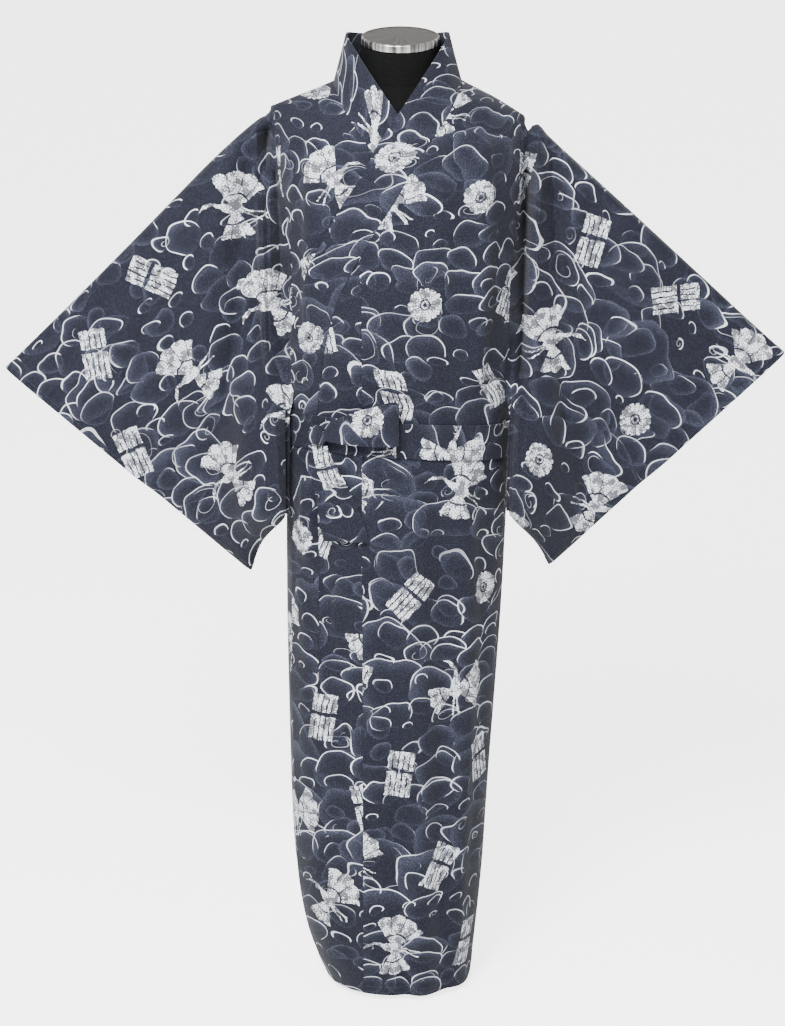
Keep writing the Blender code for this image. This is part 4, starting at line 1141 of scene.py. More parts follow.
sleeve_cloth = {}
for side, node in ((LEFT, "sleeve_left"), (RIGHT, "sleeve_right")):
    grid = sleeve_grid(side)
    fine, row_places, column_places = refine(grid, 0.0058, closed=True)
    fold_row = row_places[len(grid) // 2]
    fine = swing(fine, side)
    across, along = cloth_distances(fine)
    x, z = fine[..., 0], fine[..., 2]
    flat_uv = flat_sleeve(fine, fold_row, side)
    from_fold = along - along[fold_row]
    to_cuff = across.max(axis=1, keepdims=True) - across
    free = smooth(across, 0.003, 0.015) * smooth(to_cuff, 0.0, 0.07)
    level = np.abs(from_fold) / np.abs(from_fold).max(axis=0)
    inside = smooth(level, 0.010, 0.075) * (1.0 - smooth(level, 0.72, 0.96))
    front = np.arange(len(fine))[:, None] < fold_row
    move = np.where(
        front, fold_sum(SLEEVE_FOLDS[side, FRONT], x, z), fold_sum(SLEEVE_FOLDS[side, BACK], x, z)
    )
    points = fine.copy()
    points[..., 1] += np.where(front, -1.0, 1.0) * move * free * inside
    cuff = smooth(to_cuff, 0.016, 0.012)
    wall = COTTON * (1.0 + cuff)
    sleeve_cloth[side] = dress(node, points, wall, uv=flat_uv, closed=True)

# %% [markdown]
# ## The sash
#
# The yukata is tied with a sash of its own cloth, once round the waist and into a half bow: one
# knot, one loop and one hanging end.

# %% Band, loop and hanging end
points = refine(belt_grid(), 0.006, closed=True)[0]
dress("belt_band", points, SASH_COTTON, closed=True)
loop_cloth = dress("belt_loop", refine(loop_grid(), 0.005)[0], SASH_COTTON)
dress("belt_tail", refine(tail_grid(), 0.005)[0], SASH_COTTON)

# %% [markdown]
# ## A short way to write shader nodes
#
# A printed cloth needs many small sums. A helper that adds one node per call, and takes either a
# socket or a plain number, keeps the groups readable. Each effect becomes a node group with named
# inputs, so that it can be used again on another cloth.

# %% Node helper
class Graph:
    """Adds nodes to a tree; every call gives back the new node's output."""

    def __init__(self, tree):
        self.tree = tree

    def node(self, kind, **settings):
        """A new node with its settings."""
        made = self.tree.nodes.new(kind)
        for key, value in settings.items():
            setattr(made, key, value)
        return made

    def feed(self, socket, value):
        """Link a socket to another, or set it to a number."""
        if isinstance(value, bpy.types.NodeSocket):
            self.tree.links.new(value, socket)
        elif value is not None:
            socket.default_value = value

    def math(self, operation, *values, clamp=False):
        """One sum of numbers; the short names below are its usual kinds."""
        made = self.node("ShaderNodeMath", operation=operation, use_clamp=clamp)
        for socket, value in zip(made.inputs, values):
            self.feed(socket, value)
        return made.outputs[0]

    times = partialmethod(math, "MULTIPLY")
    times_plus = partialmethod(math, "MULTIPLY_ADD")
    plus = partialmethod(math, "ADD")
    minus = partialmethod(math, "SUBTRACT")
    over = partialmethod(math, "DIVIDE")
    below = partialmethod(math, "LESS_THAN")
    above = partialmethod(math, "GREATER_THAN")
    larger = partialmethod(math, "MAXIMUM")
    absolute = partialmethod(math, "ABSOLUTE")
    sine = partialmethod(math, "SINE")
    cosine = partialmethod(math, "COSINE")
    angle_of = partialmethod(math, "ARCTAN2")

    def vector(self, operation, *values):
        """One sum of vectors."""
        made = self.node("ShaderNodeVectorMath", operation=operation)
        for socket, value in zip(made.inputs, values):
            self.feed(socket, value)
        number = operation in ("LENGTH", "DISTANCE", "DOT_PRODUCT")
        return made.outputs["Value" if number else "Vector"]

    def scale(self, vector, factor):
        """A vector times a number."""
        made = self.node("ShaderNodeVectorMath", operation="SCALE")
        self.feed(made.inputs[0], vector)
        self.feed(made.inputs["Scale"], factor)
        return made.outputs["Vector"]

    def split(self, vector):
        """The three numbers of a vector."""
        made = self.node("ShaderNodeSeparateXYZ")
        self.feed(made.inputs[0], vector)
        return made.outputs

    def join(self, x, y, z=0.0):
        """A vector of three numbers."""
        made = self.node("ShaderNodeCombineXYZ")
        for socket, value in zip(made.inputs, (x, y, z)):
            self.feed(socket, value)
        return made.outputs[0]

    def step(self, value, low, high):
        """Smooth step from 0 at low to 1 at high; it falls where low is above high."""
        made = self.node("ShaderNodeMapRange", interpolation_type="SMOOTHSTEP")
        numbers = (value, low, high)
        if not any(isinstance(end, bpy.types.NodeSocket) for end in (low, high)) and low > high:
            numbers = (value, high, low, 1.0, 0.0)
        for socket, number in zip(made.inputs, numbers):
            self.feed(socket, number)
        return made.outputs[0]

    def mix(self, share, low, high, kind="Float"):
        """A number between two others; blend is the same for colours."""
        made = self.node("ShaderNodeMix", data_type="RGBA" if kind == "Color" else "FLOAT")
        for name, value in (("Factor_Float", share), ("A_" + kind, low), ("B_" + kind, high)):
            self.feed(next(s for s in made.inputs if s.identifier == name), value)
        return next(s for s in made.outputs if s.identifier == "Result_" + kind)

    blend = partialmethod(mix, kind="Color")

    def noise(self, vector, scale, detail=2.0):
        """Soft random value, about 0.5."""
        made = self.node("ShaderNodeTexNoise", noise_dimensions="2D")
        self.feed(made.inputs["Vector"], vector)
        made.inputs["Scale"].default_value = scale
        made.inputs["Detail"].default_value = detail
        return made.outputs[0]

    def use(self, group, **values):
        """A group node with its inputs set; gives back its outputs."""
        made = self.node("ShaderNodeGroup", node_tree=group)
        for name, value in values.items():
            self.feed(made.inputs[name.replace("_", " ")], value)
        return made.outputs


KINDS = {float: "NodeSocketFloat", tuple: "NodeSocketVector", list: "NodeSocketColor"}


def start_group(name, inputs, outputs):
    """A node group with named inputs and their usual values, and named outputs."""
    tree = bpy.data.node_groups.new(name, "ShaderNodeTree")
    for label, value in inputs.items():
        socket = tree.interface.new_socket(label, in_out="INPUT", socket_type=KINDS[type(value)])
        socket.default_value = value
    for label, kind in outputs.items():
        tree.interface.new_socket(label, in_out="OUTPUT", socket_type=KINDS[kind])
    graph = Graph(tree)
    return tree, graph, graph.node("NodeGroupInput").outputs, graph.node("NodeGroupOutput").inputs


def start_material(name, base, roughness, metallic):
    """A material with its shader's constant numbers set, and a helper for its tree."""
    material = bpy.data.materials.new(name)
    material.use_nodes = True
    shader = material.node_tree.nodes["Principled BSDF"]
    shader.inputs["Base Color"].default_value = (*base, 1.0)
    shader.inputs["Roughness"].default_value = roughness
    shader.inputs["Metallic"].default_value = metallic
    return material, shader, Graph(material.node_tree)


print("node helper ready")

# %% [markdown]
# ## Puffs of cloud
#
# The print is a bank of rounded clouds, each lobe airbrushed pale along its rim, with crisp white
# lines on some rims. One group draws one lobe over what lies behind it. The lobe's middle, size
# and line come from random numbers of its own lattice cell, so four calls of the same group, back
# to front, cover the cloth with overlapping lobes. Each lobe waits for the one behind it, by a
# nudge too small to see, so that the renderer has few numbers to hold at a time.

# %% One lobe over what lies behind it
puff, g, given, result = start_group(
    "cloud lobe",
    {"Place": (0.0, 0.0, 0.0), "Cell": (0.0, 0.0, 0.0), "Size": 0.8, "Jitter": 0.4,
     "Line Width": 0.035, "Under Glow": 0.0, "Under Line": 0.0},
    {"Glow": float, "Line": float},
)
wait = g.times(given["Under Glow"], 0.000001)
spot = g.vector("ADD", given["Place"], g.join(wait, 0.0))
nearest = g.vector("FLOOR", g.vector("SUBTRACT", spot, (0.5, 0.5, 0.0)))
corner = g.vector("ADD", nearest, given["Cell"])
chance = g.node("ShaderNodeTexWhiteNoise", noise_dimensions="2D")
g.feed(chance.inputs["Vector"], corner)
chances = g.split(chance.outputs["Color"])
shift = g.scale(g.vector("SUBTRACT", chance.outputs["Color"], (0.5, 0.5, 0.5)), given["Jitter"])
centre = g.vector("ADD", g.vector("ADD", corner, (0.5, 0.5, 0.0)), shift)
away = g.vector("MULTIPLY", g.vector("SUBTRACT", spot, centre), (1.0, 1.0, 0.0))
radius = g.times(given["Size"], g.times_plus(chances[2], 0.56, 0.44))
reach = g.over(g.vector("LENGTH", away), radius)
inside = g.step(reach, 1.01, 0.98)
parts = g.split(away)
turn = g.angle_of(parts[1], parts[0])
lit = g.times_plus(g.sine(g.plus(turn, 0.4)), 0.30, 0.62)
glow = g.times(g.math("POWER", reach, 4.5), lit)
glow = g.times(glow, g.times_plus(chances[0], 0.6, 0.55), clamp=True)
result_glow = g.mix(inside, given["Under Glow"], glow)
g.feed(result["Glow"], result_glow)
width = given["Line Width"]
rim = g.times(g.absolute(g.minus(reach, 0.985)), radius)
arc = g.sine(g.times_plus(chances[1], 1.2, g.plus(turn, -0.6)))
drawn = g.below(rim, g.times(width, g.step(arc, -0.35, 0.10)))
curl_turn = g.math("FRACT", g.plus(g.times_plus(reach, 1.55, chances[1]),
                                   g.times(turn, 0.15915)))
curl_rim = g.times(g.absolute(g.minus(curl_turn, 0.5)), radius)
curl = g.below(curl_rim, g.times(given["Line Width"], 0.75))
curl = g.times(curl, g.above(chances[1], 0.88))
curl = g.times(curl, g.times(g.step(reach, 0.20, 0.24), g.step(reach, 0.82, 0.80)))
kept = g.times(given["Under Line"], g.minus(1.0, inside))
g.feed(result["Line"], g.larger(g.larger(kept, drawn), g.times(curl, 0.6)))
print("lobe:", len(puff.nodes), "nodes")

# %% Four lobes make a bank
bank, g, given, result = start_group(
    "cloud bank",
    {"Cloth": (0.0, 0.0, 0.0), "Cell Size": 0.045, "Start": (0.0, 0.0, 0.0), "Size": 0.78,
     "Line Width": 0.035},
    {"Glow": float, "Line": float},
)
wave = g.times_plus(g.noise(given["Cloth"], 9.0, 2.0), 0.05, -0.025)
place = g.vector("ADD", given["Cloth"], g.join(wave, wave))
place = g.vector("MULTIPLY", place, (0.86, 1.18, 0.0))
place = g.vector("ADD", g.scale(place, g.over(1.0, given["Cell Size"])), given["Start"])
crowd = g.times_plus(g.step(g.noise(place, 0.33, 1.0), 0.40, 0.60), 0.62, 0.38)
size = g.times(given["Size"], crowd)
width = g.times(given["Line Width"], g.step(g.noise(place, 0.42, 1.0), 0.40, 0.52))
glow = line = 0.0
for down in (1, 0):
    for side_step in (1, 0):
        outputs = g.use(puff, Place=place, Cell=(side_step, down, 0.0), Size=size,
                        Line_Width=width, Under_Glow=glow, Under_Line=line)
        glow, line = outputs["Glow"], outputs["Line"]
g.feed(result["Glow"], glow)
g.feed(result["Line"], line)
print("bank:", len(bank.nodes), "nodes")

# %% [markdown]
# ## Motifs
#
# Between the clouds float white motifs as long as a hand. They are generic ones: a flying crane,
# a bar mark from the old incense game and a round chrysanthemum. Each is made from tapered brush
# strokes, and a square lattice gives every cell of cloth one motif with its own place and turn.

# %% A tapered stroke
stroke, g, given, result = start_group(
    "brush stroke",
    {"Place": (0.0, 0.0, 0.0), "Start": (0.0, 0.0, 0.0), "End": (1.0, 0.0, 0.0),
     "Start Width": 0.1, "End Width": 0.1, "Under": 0.0},
    {"Mask": float},
)
wait = g.times(given["Under"], 0.000001)
line = g.vector("SUBTRACT", given["End"], given["Start"])
here = g.vector("SUBTRACT", g.vector("ADD", given["Place"], g.join(wait, 0.0)), given["Start"])
share = g.over(g.vector("DOT_PRODUCT", here, line), g.vector("DOT_PRODUCT", line, line),
               clamp=True)
apart = g.vector("LENGTH", g.vector("SUBTRACT", here, g.scale(line, share)))
wide = g.mix(share, given["Start Width"], given["End Width"])
g.feed(result["Mask"], g.larger(given["Under"], g.below(apart, wide)))
print("stroke:", len(stroke.nodes), "nodes")

# %% Crane, bar mark and chrysanthemum
CRANE = [
    ((-0.08, -0.12), (0.16, 0.10), 0.14, 0.10), ((0.16, 0.10), (0.40, 0.34), 0.065, 0.034),
    ((0.40, 0.34), (0.62, 0.36), 0.034, 0.048), ((0.62, 0.36), (0.84, 0.30), 0.036, 0.008),
    ((-0.12, -0.16), (-0.60, -0.50), 0.026, 0.016), ((-0.10, -0.20), (-0.50, -0.62), 0.026, 0.016),
]
BAR = 0.075
MARK_BARS = [
    ((-0.40, 0.02), (-0.20, 0.02), BAR, BAR), ((0.20, 0.02), (0.40, 0.02), BAR, BAR),
    ((-0.40, 0.84), (0.00, 0.84), BAR, BAR), ((0.20, 0.66), (0.40, 0.66), BAR, BAR),
]


def draw_strokes(g, place, strokes):
    """The mask of a motif's strokes, one unit across its half."""
    mask = 0.0
    for start, end, start_width, end_width in strokes:
        mask = g.use(stroke, Place=place, Start=(*start, 0.0), End=(*end, 0.0),
                     Start_Width=start_width, End_Width=end_width, Under=mask)["Mask"]
    return mask


crane, g, given, result = start_group("crane", {"Place": (0.0, 0.0, 0.0)}, {"Mask": float})
parts = g.split(given["Place"])
turn = g.angle_of(g.plus(parts[1], 0.06), g.plus(parts[0], -0.02))
reach = g.vector("LENGTH", g.vector("ADD", given["Place"], (-0.02, 0.06, 0.0)))
upper = g.above(g.cosine(g.plus(turn, -2.32)), 0.70)
lower = g.above(g.cosine(g.plus(turn, 1.22)), 0.84)
tips = g.absolute(g.sine(g.times(turn, 6.5)))
span = g.times_plus(g.cosine(g.plus(turn, -2.05)), 0.10, 0.80)
span = g.times_plus(g.math("POWER", tips, 0.6), 0.09, span)
rib = g.above(g.times(tips, reach), g.times(g.step(reach, 0.30, 0.42), 0.07))
plume = g.above(g.absolute(g.minus(reach, 0.40)), 0.022)
wings = g.times(g.larger(upper, lower), g.below(reach, span))
wings = g.times(wings, g.times(rib, plume))
g.feed(result["Mask"], g.larger(wings, draw_strokes(g, given["Place"], CRANE)))

mark, g, given, result = start_group("bar mark", {"Place": (0.0, 0.0, 0.0)}, {"Mask": float})
parts = g.split(given["Place"])
row = g.absolute(g.minus(g.math("FRACT", g.times_plus(parts[0], 5.0, 0.5)), 0.5))
bars = g.below(row, 0.37)
beside = g.below(g.absolute(parts[0]), 0.5)
low_set = g.below(g.absolute(g.plus(parts[1], 0.38)), 0.46)
high_set = g.below(g.absolute(g.plus(parts[1], -0.56)), 0.33)
bars = g.times(g.times(bars, beside), g.larger(low_set, high_set))
g.feed(result["Mask"], g.larger(bars, draw_strokes(g, given["Place"], MARK_BARS)))

flower, g, given, result = start_group("chrysanthemum", {"Place": (0.0, 0.0, 0.0)}, {"Mask": float})
parts = g.split(given["Place"])
turn = g.angle_of(parts[1], parts[0])
reach = g.vector("LENGTH", given["Place"])
petal = g.absolute(g.sine(g.times(turn, 8.0)))
edge = g.times_plus(g.math("POWER", petal, 0.5), 0.10, 0.60)
filled = g.below(reach, edge)
gap = g.above(g.times(petal, reach), 0.075)
eye = g.times(g.above(reach, 0.17), g.below(reach, 0.23))
filled = g.times(g.times(filled, gap), g.minus(1.0, eye))
g.feed(result["Mask"], filled)
print("motifs:", len(crane.nodes), len(mark.nodes), len(flower.nodes), "nodes")

# %% One motif in each cell of cloth
scatter, g, given, result = start_group(
    "scattered motifs",
    {"Cloth": (0.0, 0.0, 0.0), "Cell Size": 0.150, "Motif Size": 0.30},
    {"Mask": float, "Near": float},
)
place = g.scale(given["Cloth"], g.over(1.0, given["Cell Size"]))
row_shift = g.times(g.math("FLOOR", g.split(place)[1]), 0.5)
place = g.vector("ADD", place, g.join(row_shift, 0.0))
corner = g.vector("FLOOR", place)
chance = g.node("ShaderNodeTexWhiteNoise", noise_dimensions="2D")
g.feed(chance.inputs["Vector"], g.vector("ADD", corner, (7.3, 2.9, 0.0)))
chances = g.split(chance.outputs["Color"])
shift = g.scale(g.vector("SUBTRACT", chance.outputs["Color"], (0.5, 0.5, 0.5)), 0.20)
centre = g.vector("ADD", g.vector("ADD", corner, (0.5, 0.5, 0.0)), shift)
away = g.vector("MULTIPLY", g.vector("SUBTRACT", place, centre), (1.0, 1.0, 0.0))
away = g.scale(away, g.over(1.0, given["Motif Size"]))
turned = g.node("ShaderNodeVectorRotate", rotation_type="Z_AXIS")
g.feed(turned.inputs["Vector"], away)
g.feed(turned.inputs["Angle"], g.times_plus(chances[1], 1.5, -0.75))
local = turned.outputs[0]
wobble = g.scale(g.join(g.minus(g.noise(given["Cloth"], 90.0), 0.5),
                        g.minus(g.noise(given["Cloth"], 83.0), 0.5)), 0.10)
local = g.vector("ADD", local, wobble)
kind = chance.outputs["Value"]
is_crane = g.below(kind, 0.40)
is_flower = g.above(kind, 0.80)
is_mark = g.minus(g.minus(1.0, is_crane), is_flower)
mask = g.times(is_crane, g.use(crane, Place=g.scale(local, 0.78))["Mask"])
mask = g.times_plus(is_mark, g.use(mark, Place=g.scale(local, 1.06))["Mask"], mask)
mask = g.times_plus(is_flower, g.use(flower, Place=g.scale(local, 1.25))["Mask"], mask)
veins = g.node("ShaderNodeTexVoronoi", voronoi_dimensions="2D", feature="DISTANCE_TO_EDGE")
g.feed(veins.inputs["Vector"], given["Cloth"])
veins.inputs["Scale"].default_value = 250.0
shaded = g.step(g.noise(given["Cloth"], 75.0), 0.66, 0.42)
limit = g.times_plus(g.minus(1.0, shaded), 0.34, 0.05)
veined = g.step(veins.outputs["Distance"], limit, g.plus(limit, 0.07))
g.feed(result["Mask"], g.times(mask, g.times_plus(veined, 0.85, 0.15)))
g.feed(result["Near"], g.step(g.vector("LENGTH", local), 1.3, 0.4))
print("scatter:", len(scatter.nodes), "nodes")

# %% [markdown]
# ## Ground speckle, thread and the printed cotton
#
# Under the clouds the navy ground is broken by fine pale dots. Close by, the plain weave shows as
# a tiny basket of raised threads. Both are groups, and the material joins them with the clouds.

# %% Speckle and weave
speckle, g, given, result = start_group(
    "fine dots", {"Cloth": (0.0, 0.0, 0.0), "Pitch": 0.0024}, {"Dots": float})
dots = g.node("ShaderNodeTexVoronoi", voronoi_dimensions="2D", feature="F1")
g.feed(dots.inputs["Vector"], given["Cloth"])
g.feed(dots.inputs["Scale"], g.over(1.0, given["Pitch"]))
dots.inputs["Randomness"].default_value = 0.6
size = g.times_plus(g.split(dots.outputs["Color"])[0], 0.34, 0.10)
g.feed(result["Dots"], g.below(dots.outputs["Distance"], size))

weave, g, given, result = start_group(
    "plain weave", {"Cloth": (0.0, 0.0, 0.0), "Thread": 0.0006}, {"Height": float})
parts = g.split(g.scale(given["Cloth"], g.over(math.pi, given["Thread"])))
warp = g.absolute(g.sine(parts[0]))
weft = g.absolute(g.sine(parts[1]))
over = g.above(g.times(g.sine(parts[0]), g.sine(parts[1])), 0.0)
g.feed(result["Height"], g.mix(over, warp, weft))
print("speckle and weave ready")

# %% Printed cotton
NAVY = (0.0028, 0.0035, 0.0105, 1.0)
PALE = (0.140, 0.158, 0.235, 1.0)
WHITE = (0.78, 0.80, 0.86, 1.0)


def printed_cotton(name):
    """Navy cotton with clouds, lines, dots and motifs, read from the cloth's UV map."""
    material, shader, g = start_material(name, (0.8, 0.8, 0.8), 0.82, 0.0)
    cloth = g.node("ShaderNodeUVMap", uv_map="cloth").outputs[0]
    low, high = (
        g.use(bank, Cloth=cloth, Cell_Size=cell, Start=start, Size=0.80, Line_Width=width)
        for cell, start, width in ((0.074, (3.7, 1.2, 0.0), 0.0125), (0.043, (11.4, 6.1, 0.0), 0.021))
    )
    motifs = g.use(scatter, Cloth=cloth)
    dots = g.use(speckle, Cloth=cloth)["Dots"]
    near = motifs["Near"]
    glow = g.larger(g.times(low["Glow"], 0.75), g.times(high["Glow"], 0.8))
    glow = g.times(glow, g.times_plus(g.noise(cloth, 14.0), 0.9, 0.35), clamp=True)
    pale = g.times_plus(dots, g.times_plus(glow, 0.38, 0.080),
                  g.times(glow, 0.38), clamp=True)
    colour = g.blend(pale, NAVY, PALE)
    lines = g.larger(low["Line"], high["Line"])
    lines = g.times(lines, g.times_plus(near, -0.4, 0.95))
    lines = g.times(lines, g.times_plus(g.noise(cloth, 9.0), 1.5, -0.05), clamp=True)
    colour = g.blend(lines, colour, WHITE)
    colour = g.blend(motifs["Mask"], colour, WHITE)
    g.feed(shader.inputs["Base Color"], colour)
    shader.inputs["Sheen Weight"].default_value = 0.06
    shader.inputs["Specular IOR Level"].default_value = 0.25
    bump = g.node("ShaderNodeBump")
    bump.inputs["Strength"].default_value = 0.35
    bump.inputs["Distance"].default_value = 0.0002
    g.feed(bump.inputs["Height"], g.use(weave, Cloth=cloth)["Height"])
    g.feed(shader.inputs["Normal"], bump.outputs[0])
    return material


cotton = printed_cotton("yukata_cotton")
cloth_pieces = [o for o in bpy.data.objects if o.name.startswith("cloth_")]
for piece in cloth_pieces:
    piece.data.materials.append(cotton)
print("printed:", sorted(piece.name for piece in cloth_pieces))

# %% [markdown]
# ## The knot and its pleats
#
# Where the sash is pulled through itself it crushes into pleats. The knot is a small closed lump
# of cloth with deep pleats running over it, and it goes with the sash.

# %% Knot
def knot_rings(rings, segments):
    """Closed rings of the knot from its top to its foot, with pleats that twist as they go."""
    centre = bow_point(KNOT_CENTRE[0], KNOT_CENTRE[1], KNOT_OUT)
    behind = torso_point(KNOT_CENTRE[0], KNOT_CENTRE[1], FRONT)
    outwards = (centre - behind).normalized()
    across = Vector((0.0, 0.0, 1.0)).cross(outwards)
    grid = []
    for ring in range(rings + 1):
        polar = math.pi * (0.04 + 0.92 * ring / rings)
        row = []
        for segment in range(segments):
            turn = 2.0 * math.pi * segment / segments
            pleat = 1.0 + KNOT_PLEAT_DEPTH * math.cos(KNOT_PLEATS * turn + 1.6 * polar)
            pleat += 0.03 * math.cos(3.0 * turn)
            waist = 1.0 - 0.14 * math.exp(-((polar - 1.1) / 0.22) ** 2)
            girth = math.sin(polar) ** 0.75 * pleat * waist
            wide = KNOT_HALF.x * girth * math.cos(turn)
            deep = KNOT_HALF.y * girth * math.sin(turn)
            tall = KNOT_HALF.z * math.cos(polar)
            row.append(centre + across * wide + outwards * deep + Vector((0.0, 0.0, tall)))
        grid.append(row)
    return grid


def make_lump(name, grid):
    """Closed lump through rings, with a fan at each end and a UV map in metres."""
    rows, columns = len(grid), len(grid[0])
    verts = [tuple(point) for row in grid for point in row]
    verts += [tuple(sum(row, Vector()) / columns) for row in (grid[0], grid[-1])]
    faces, uvs = [], []
    for r in range(rows - 1):
        for c in range(columns):
            n = (c + 1) % columns
            here, below = r * columns, (r + 1) * columns
            faces.append([here + c, below + c, below + n, here + n])
            corners = ((c, r), (c, r + 1), (c + 1, r + 1), (c + 1, r))
            uvs += [(KNOT_PITCH[0] * a, KNOT_PITCH[1] * b) for a, b in corners]
    for pole, r, flip in ((len(verts) - 2, 0, False), (len(verts) - 1, rows - 1, True)):
        for c in range(columns):
            n = (c + 1) % columns
            ends = (n, c) if flip else (c, n)
            faces.append([pole, r * columns + ends[0], r * columns + ends[1]])
            uvs += [(KNOT_PITCH[0] * c, KNOT_PITCH[1] * r)] * 3
    return make_shell(name, np.array(verts), faces, uvs)


knot_cloth = make_lump("cloth_belt_knot", knot_rings(22, 56))
knot_cloth.parent = loop_cloth
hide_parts("belt_knot")
knot_cloth.data.materials.append(cotton)
print("knot faces:", len(knot_cloth.data.polygons))

# %% [markdown]
# ## The form's covered neck
#
# The dress form is covered in black jersey that is pulled up over the neck and seamed across it.
# A thin tube of cloth, a hair wider than the neck, carries the seam's soft step and its turn-in.

# %% Neck cover
NeckRing = namedtuple("NeckRing", "height radius y tilt")
NECK_RINGS = [NeckRing(*row) for row in [
    (1.3300, 0.0700, 0.008, 0.0), (1.3900, 0.0680, 0.006, 2.0), (1.4150, 0.0650, 0.003, 3.5),
    (1.4400, 0.0610, -0.001, 5.0), (1.4620, 0.0578, -0.005, 6.5), (1.4815, 0.0565, -0.008, 7.6),
]]
COVER_FOOT = 1.3300
COVER_TOP = 1.4812
COVER_STEP_HEIGHT = 1.4400
COVER_ROWS = 56
COVER_SEGMENTS = 97
COVER_CLEAR = 0.0011
COVER_WALL = 0.0010
cover_rows = []
for step in range(COVER_ROWS):
    height = COVER_FOOT + (COVER_TOP - COVER_FOOT) * step / (COVER_ROWS - 1)
    tilt = math.radians(read_table(NECK_RINGS, "tilt", height))
    radius = read_table(NECK_RINGS, "radius", height) + COVER_CLEAR
    y = read_table(NECK_RINGS, "y", height)
    radius += 0.0007 * float(smooth(np.array(height), COVER_STEP_HEIGHT + 0.0015, COVER_STEP_HEIGHT))
    radius -= 0.0006 * math.exp(-(((height - COVER_STEP_HEIGHT) / 0.0012) ** 2))
    row = []
    for segment in range(COVER_SEGMENTS):
        turn = math.pi / 2.0 + 2.0 * math.pi * segment / COVER_SEGMENTS
        deep = radius * math.sin(turn)
        raised = height + deep * math.sin(tilt)
        row.append((radius * math.cos(turn), y + deep * math.cos(tilt), raised))
    cover_rows.append(row)
cover_points = np.array(cover_rows).transpose(1, 0, 2)
cover_uv = cloth_distances(cover_points)
neck_cover = make_cloth("neck_cover", cover_points, COVER_WALL, cover_uv, closed=True)
print("neck cover faces:", len(neck_cover.data.polygons))

# %% [markdown]
# ## Metal cap, pole and foot
#
# The neck is closed by a turned metal cap with a rolled rim. Below, hidden by the skirt, a steel
# pole stands in a round enamelled foot. Each is a primitive with bevelled and inset edges.

# %% Turned pieces
def add_disc(sides, radius, depth, height):
    """Select nothing, then add an upright cylinder with its middle at a height."""
    if bpy.context.object and bpy.context.object.mode != "OBJECT":
        bpy.ops.object.mode_set(mode="OBJECT")
    bpy.ops.object.select_all(action="DESELECT")
    bpy.ops.mesh.primitive_cylinder_add(
        vertices=sides, radius=radius, depth=depth, location=(0.0, 0.0, height)
    )
    return bpy.context.active_object


def bevel_rims(piece, width, segments):
    """Round the rims between a piece's flat ends and its side."""
    bpy.ops.object.mode_set(mode="OBJECT")
    sharp = [p for p in piece.data.polygons if len(p.vertices) > 8]
    rims = {key for p in sharp for key in p.edge_keys}
    for edge in piece.data.edges:
        edge.select = edge.key in rims
    bpy.ops.object.mode_set(mode="EDIT")
    bpy.ops.mesh.select_mode(type="EDGE")
    bpy.ops.mesh.bevel(offset=width, segments=segments, affect="EDGES")
    bpy.ops.object.mode_set(mode="OBJECT")


def pick_face(piece, upwards):
    """Select only the flat end that looks up or down."""
    bpy.ops.object.mode_set(mode="OBJECT")
    for polygon in piece.data.polygons:
        polygon.select = len(polygon.vertices) > 8 and (polygon.normal.z > 0.0) == upwards
    for edge in piece.data.edges:
        edge.select = False
    for vertex in piece.data.vertices:
        vertex.select = False
    for polygon in piece.data.polygons:
        if polygon.select:
            for index in polygon.vertices:
                piece.data.vertices[index].select = True
    bpy.ops.object.mode_set(mode="EDIT")
    bpy.ops.mesh.select_mode(type="FACE")


def settle(piece, name, node):
    """Finish a hard piece: put its place into its mesh, shade it and let it ride the part."""
    bpy.ops.object.mode_set(mode="OBJECT")
    bpy.ops.object.transform_apply(location=True, rotation=True, scale=True)
    bpy.ops.object.shade_smooth_by_angle(angle=math.radians(35.0))
    piece.name = name
    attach(piece, "root")
    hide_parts(node)
    return piece


last_ring = NECK_RINGS[-1]
cap_tilt = math.radians(last_ring.tilt)
cap = add_disc(128, 0.0577, 0.0118, 0.0062)
bpy.ops.object.transform_apply(location=True)
bevel_rims(cap, 0.0022, 4)
pick_face(cap, True)
bpy.ops.mesh.inset(thickness=0.0030, depth=0.0)
bpy.ops.mesh.inset(thickness=0.0006, depth=-0.0005)
bpy.ops.mesh.inset(thickness=0.0500, depth=0.0006)
bpy.ops.object.mode_set(mode="OBJECT")
cap.rotation_euler = (cap_tilt, 0.0, 0.0)
cap.location = (0.0, last_ring.y, last_ring.height)
settle(cap, "neck_cap", "form_neck_cap")

pole = add_disc(64, 0.0125, 1.2954, 0.68205)
bevel_rims(pole, 0.0006, 2)
settle(pole, "pole", "stand_pole")

foot = add_disc(96, 0.098, 0.012, 0.006)
bevel_rims(foot, 0.0026, 4)
pick_face(foot, True)
bpy.ops.mesh.inset(thickness=0.0700, depth=0.0030)
bpy.ops.mesh.inset(thickness=0.0012, depth=0.0)
bpy.ops.mesh.extrude_region_move(TRANSFORM_OT_translate={"value": (0.0, 0.0, 0.0175)})
bpy.ops.mesh.bevel(offset=0.0008, segments=2, affect="EDGES")
settle(foot, "foot", "stand_base")
print("cap, pole and foot:", [len(o.data.polygons) for o in (cap, pole, foot)])

# %% [markdown]
# ## Black jersey, satin metal and enamel
#
# The form's cover is a fine black knit. The cap is spun metal with faint turning bands in its
# roughness; on its rim the same bands are painted into its colour as bright highlight streaks. The
# foot is enamelled. Each takes its wear from a small group, read in object coordinates.

# %% Groups for knit, turning bands (also the cap's painted rim highlights) and dust
knit, g, given, result = start_group(
    "fine knit", {"Place": (0.0, 0.0, 0.0), "Stitch": 0.0011}, {"Height": float})
parts = g.split(g.scale(given["Place"], g.over(math.pi, given["Stitch"])))
lean = g.times(g.absolute(g.sine(parts[0])), 1.4)
loops = g.absolute(g.sine(g.plus(parts[2], lean)))
g.feed(result["Height"], g.times(loops, g.absolute(g.cosine(parts[0]))))
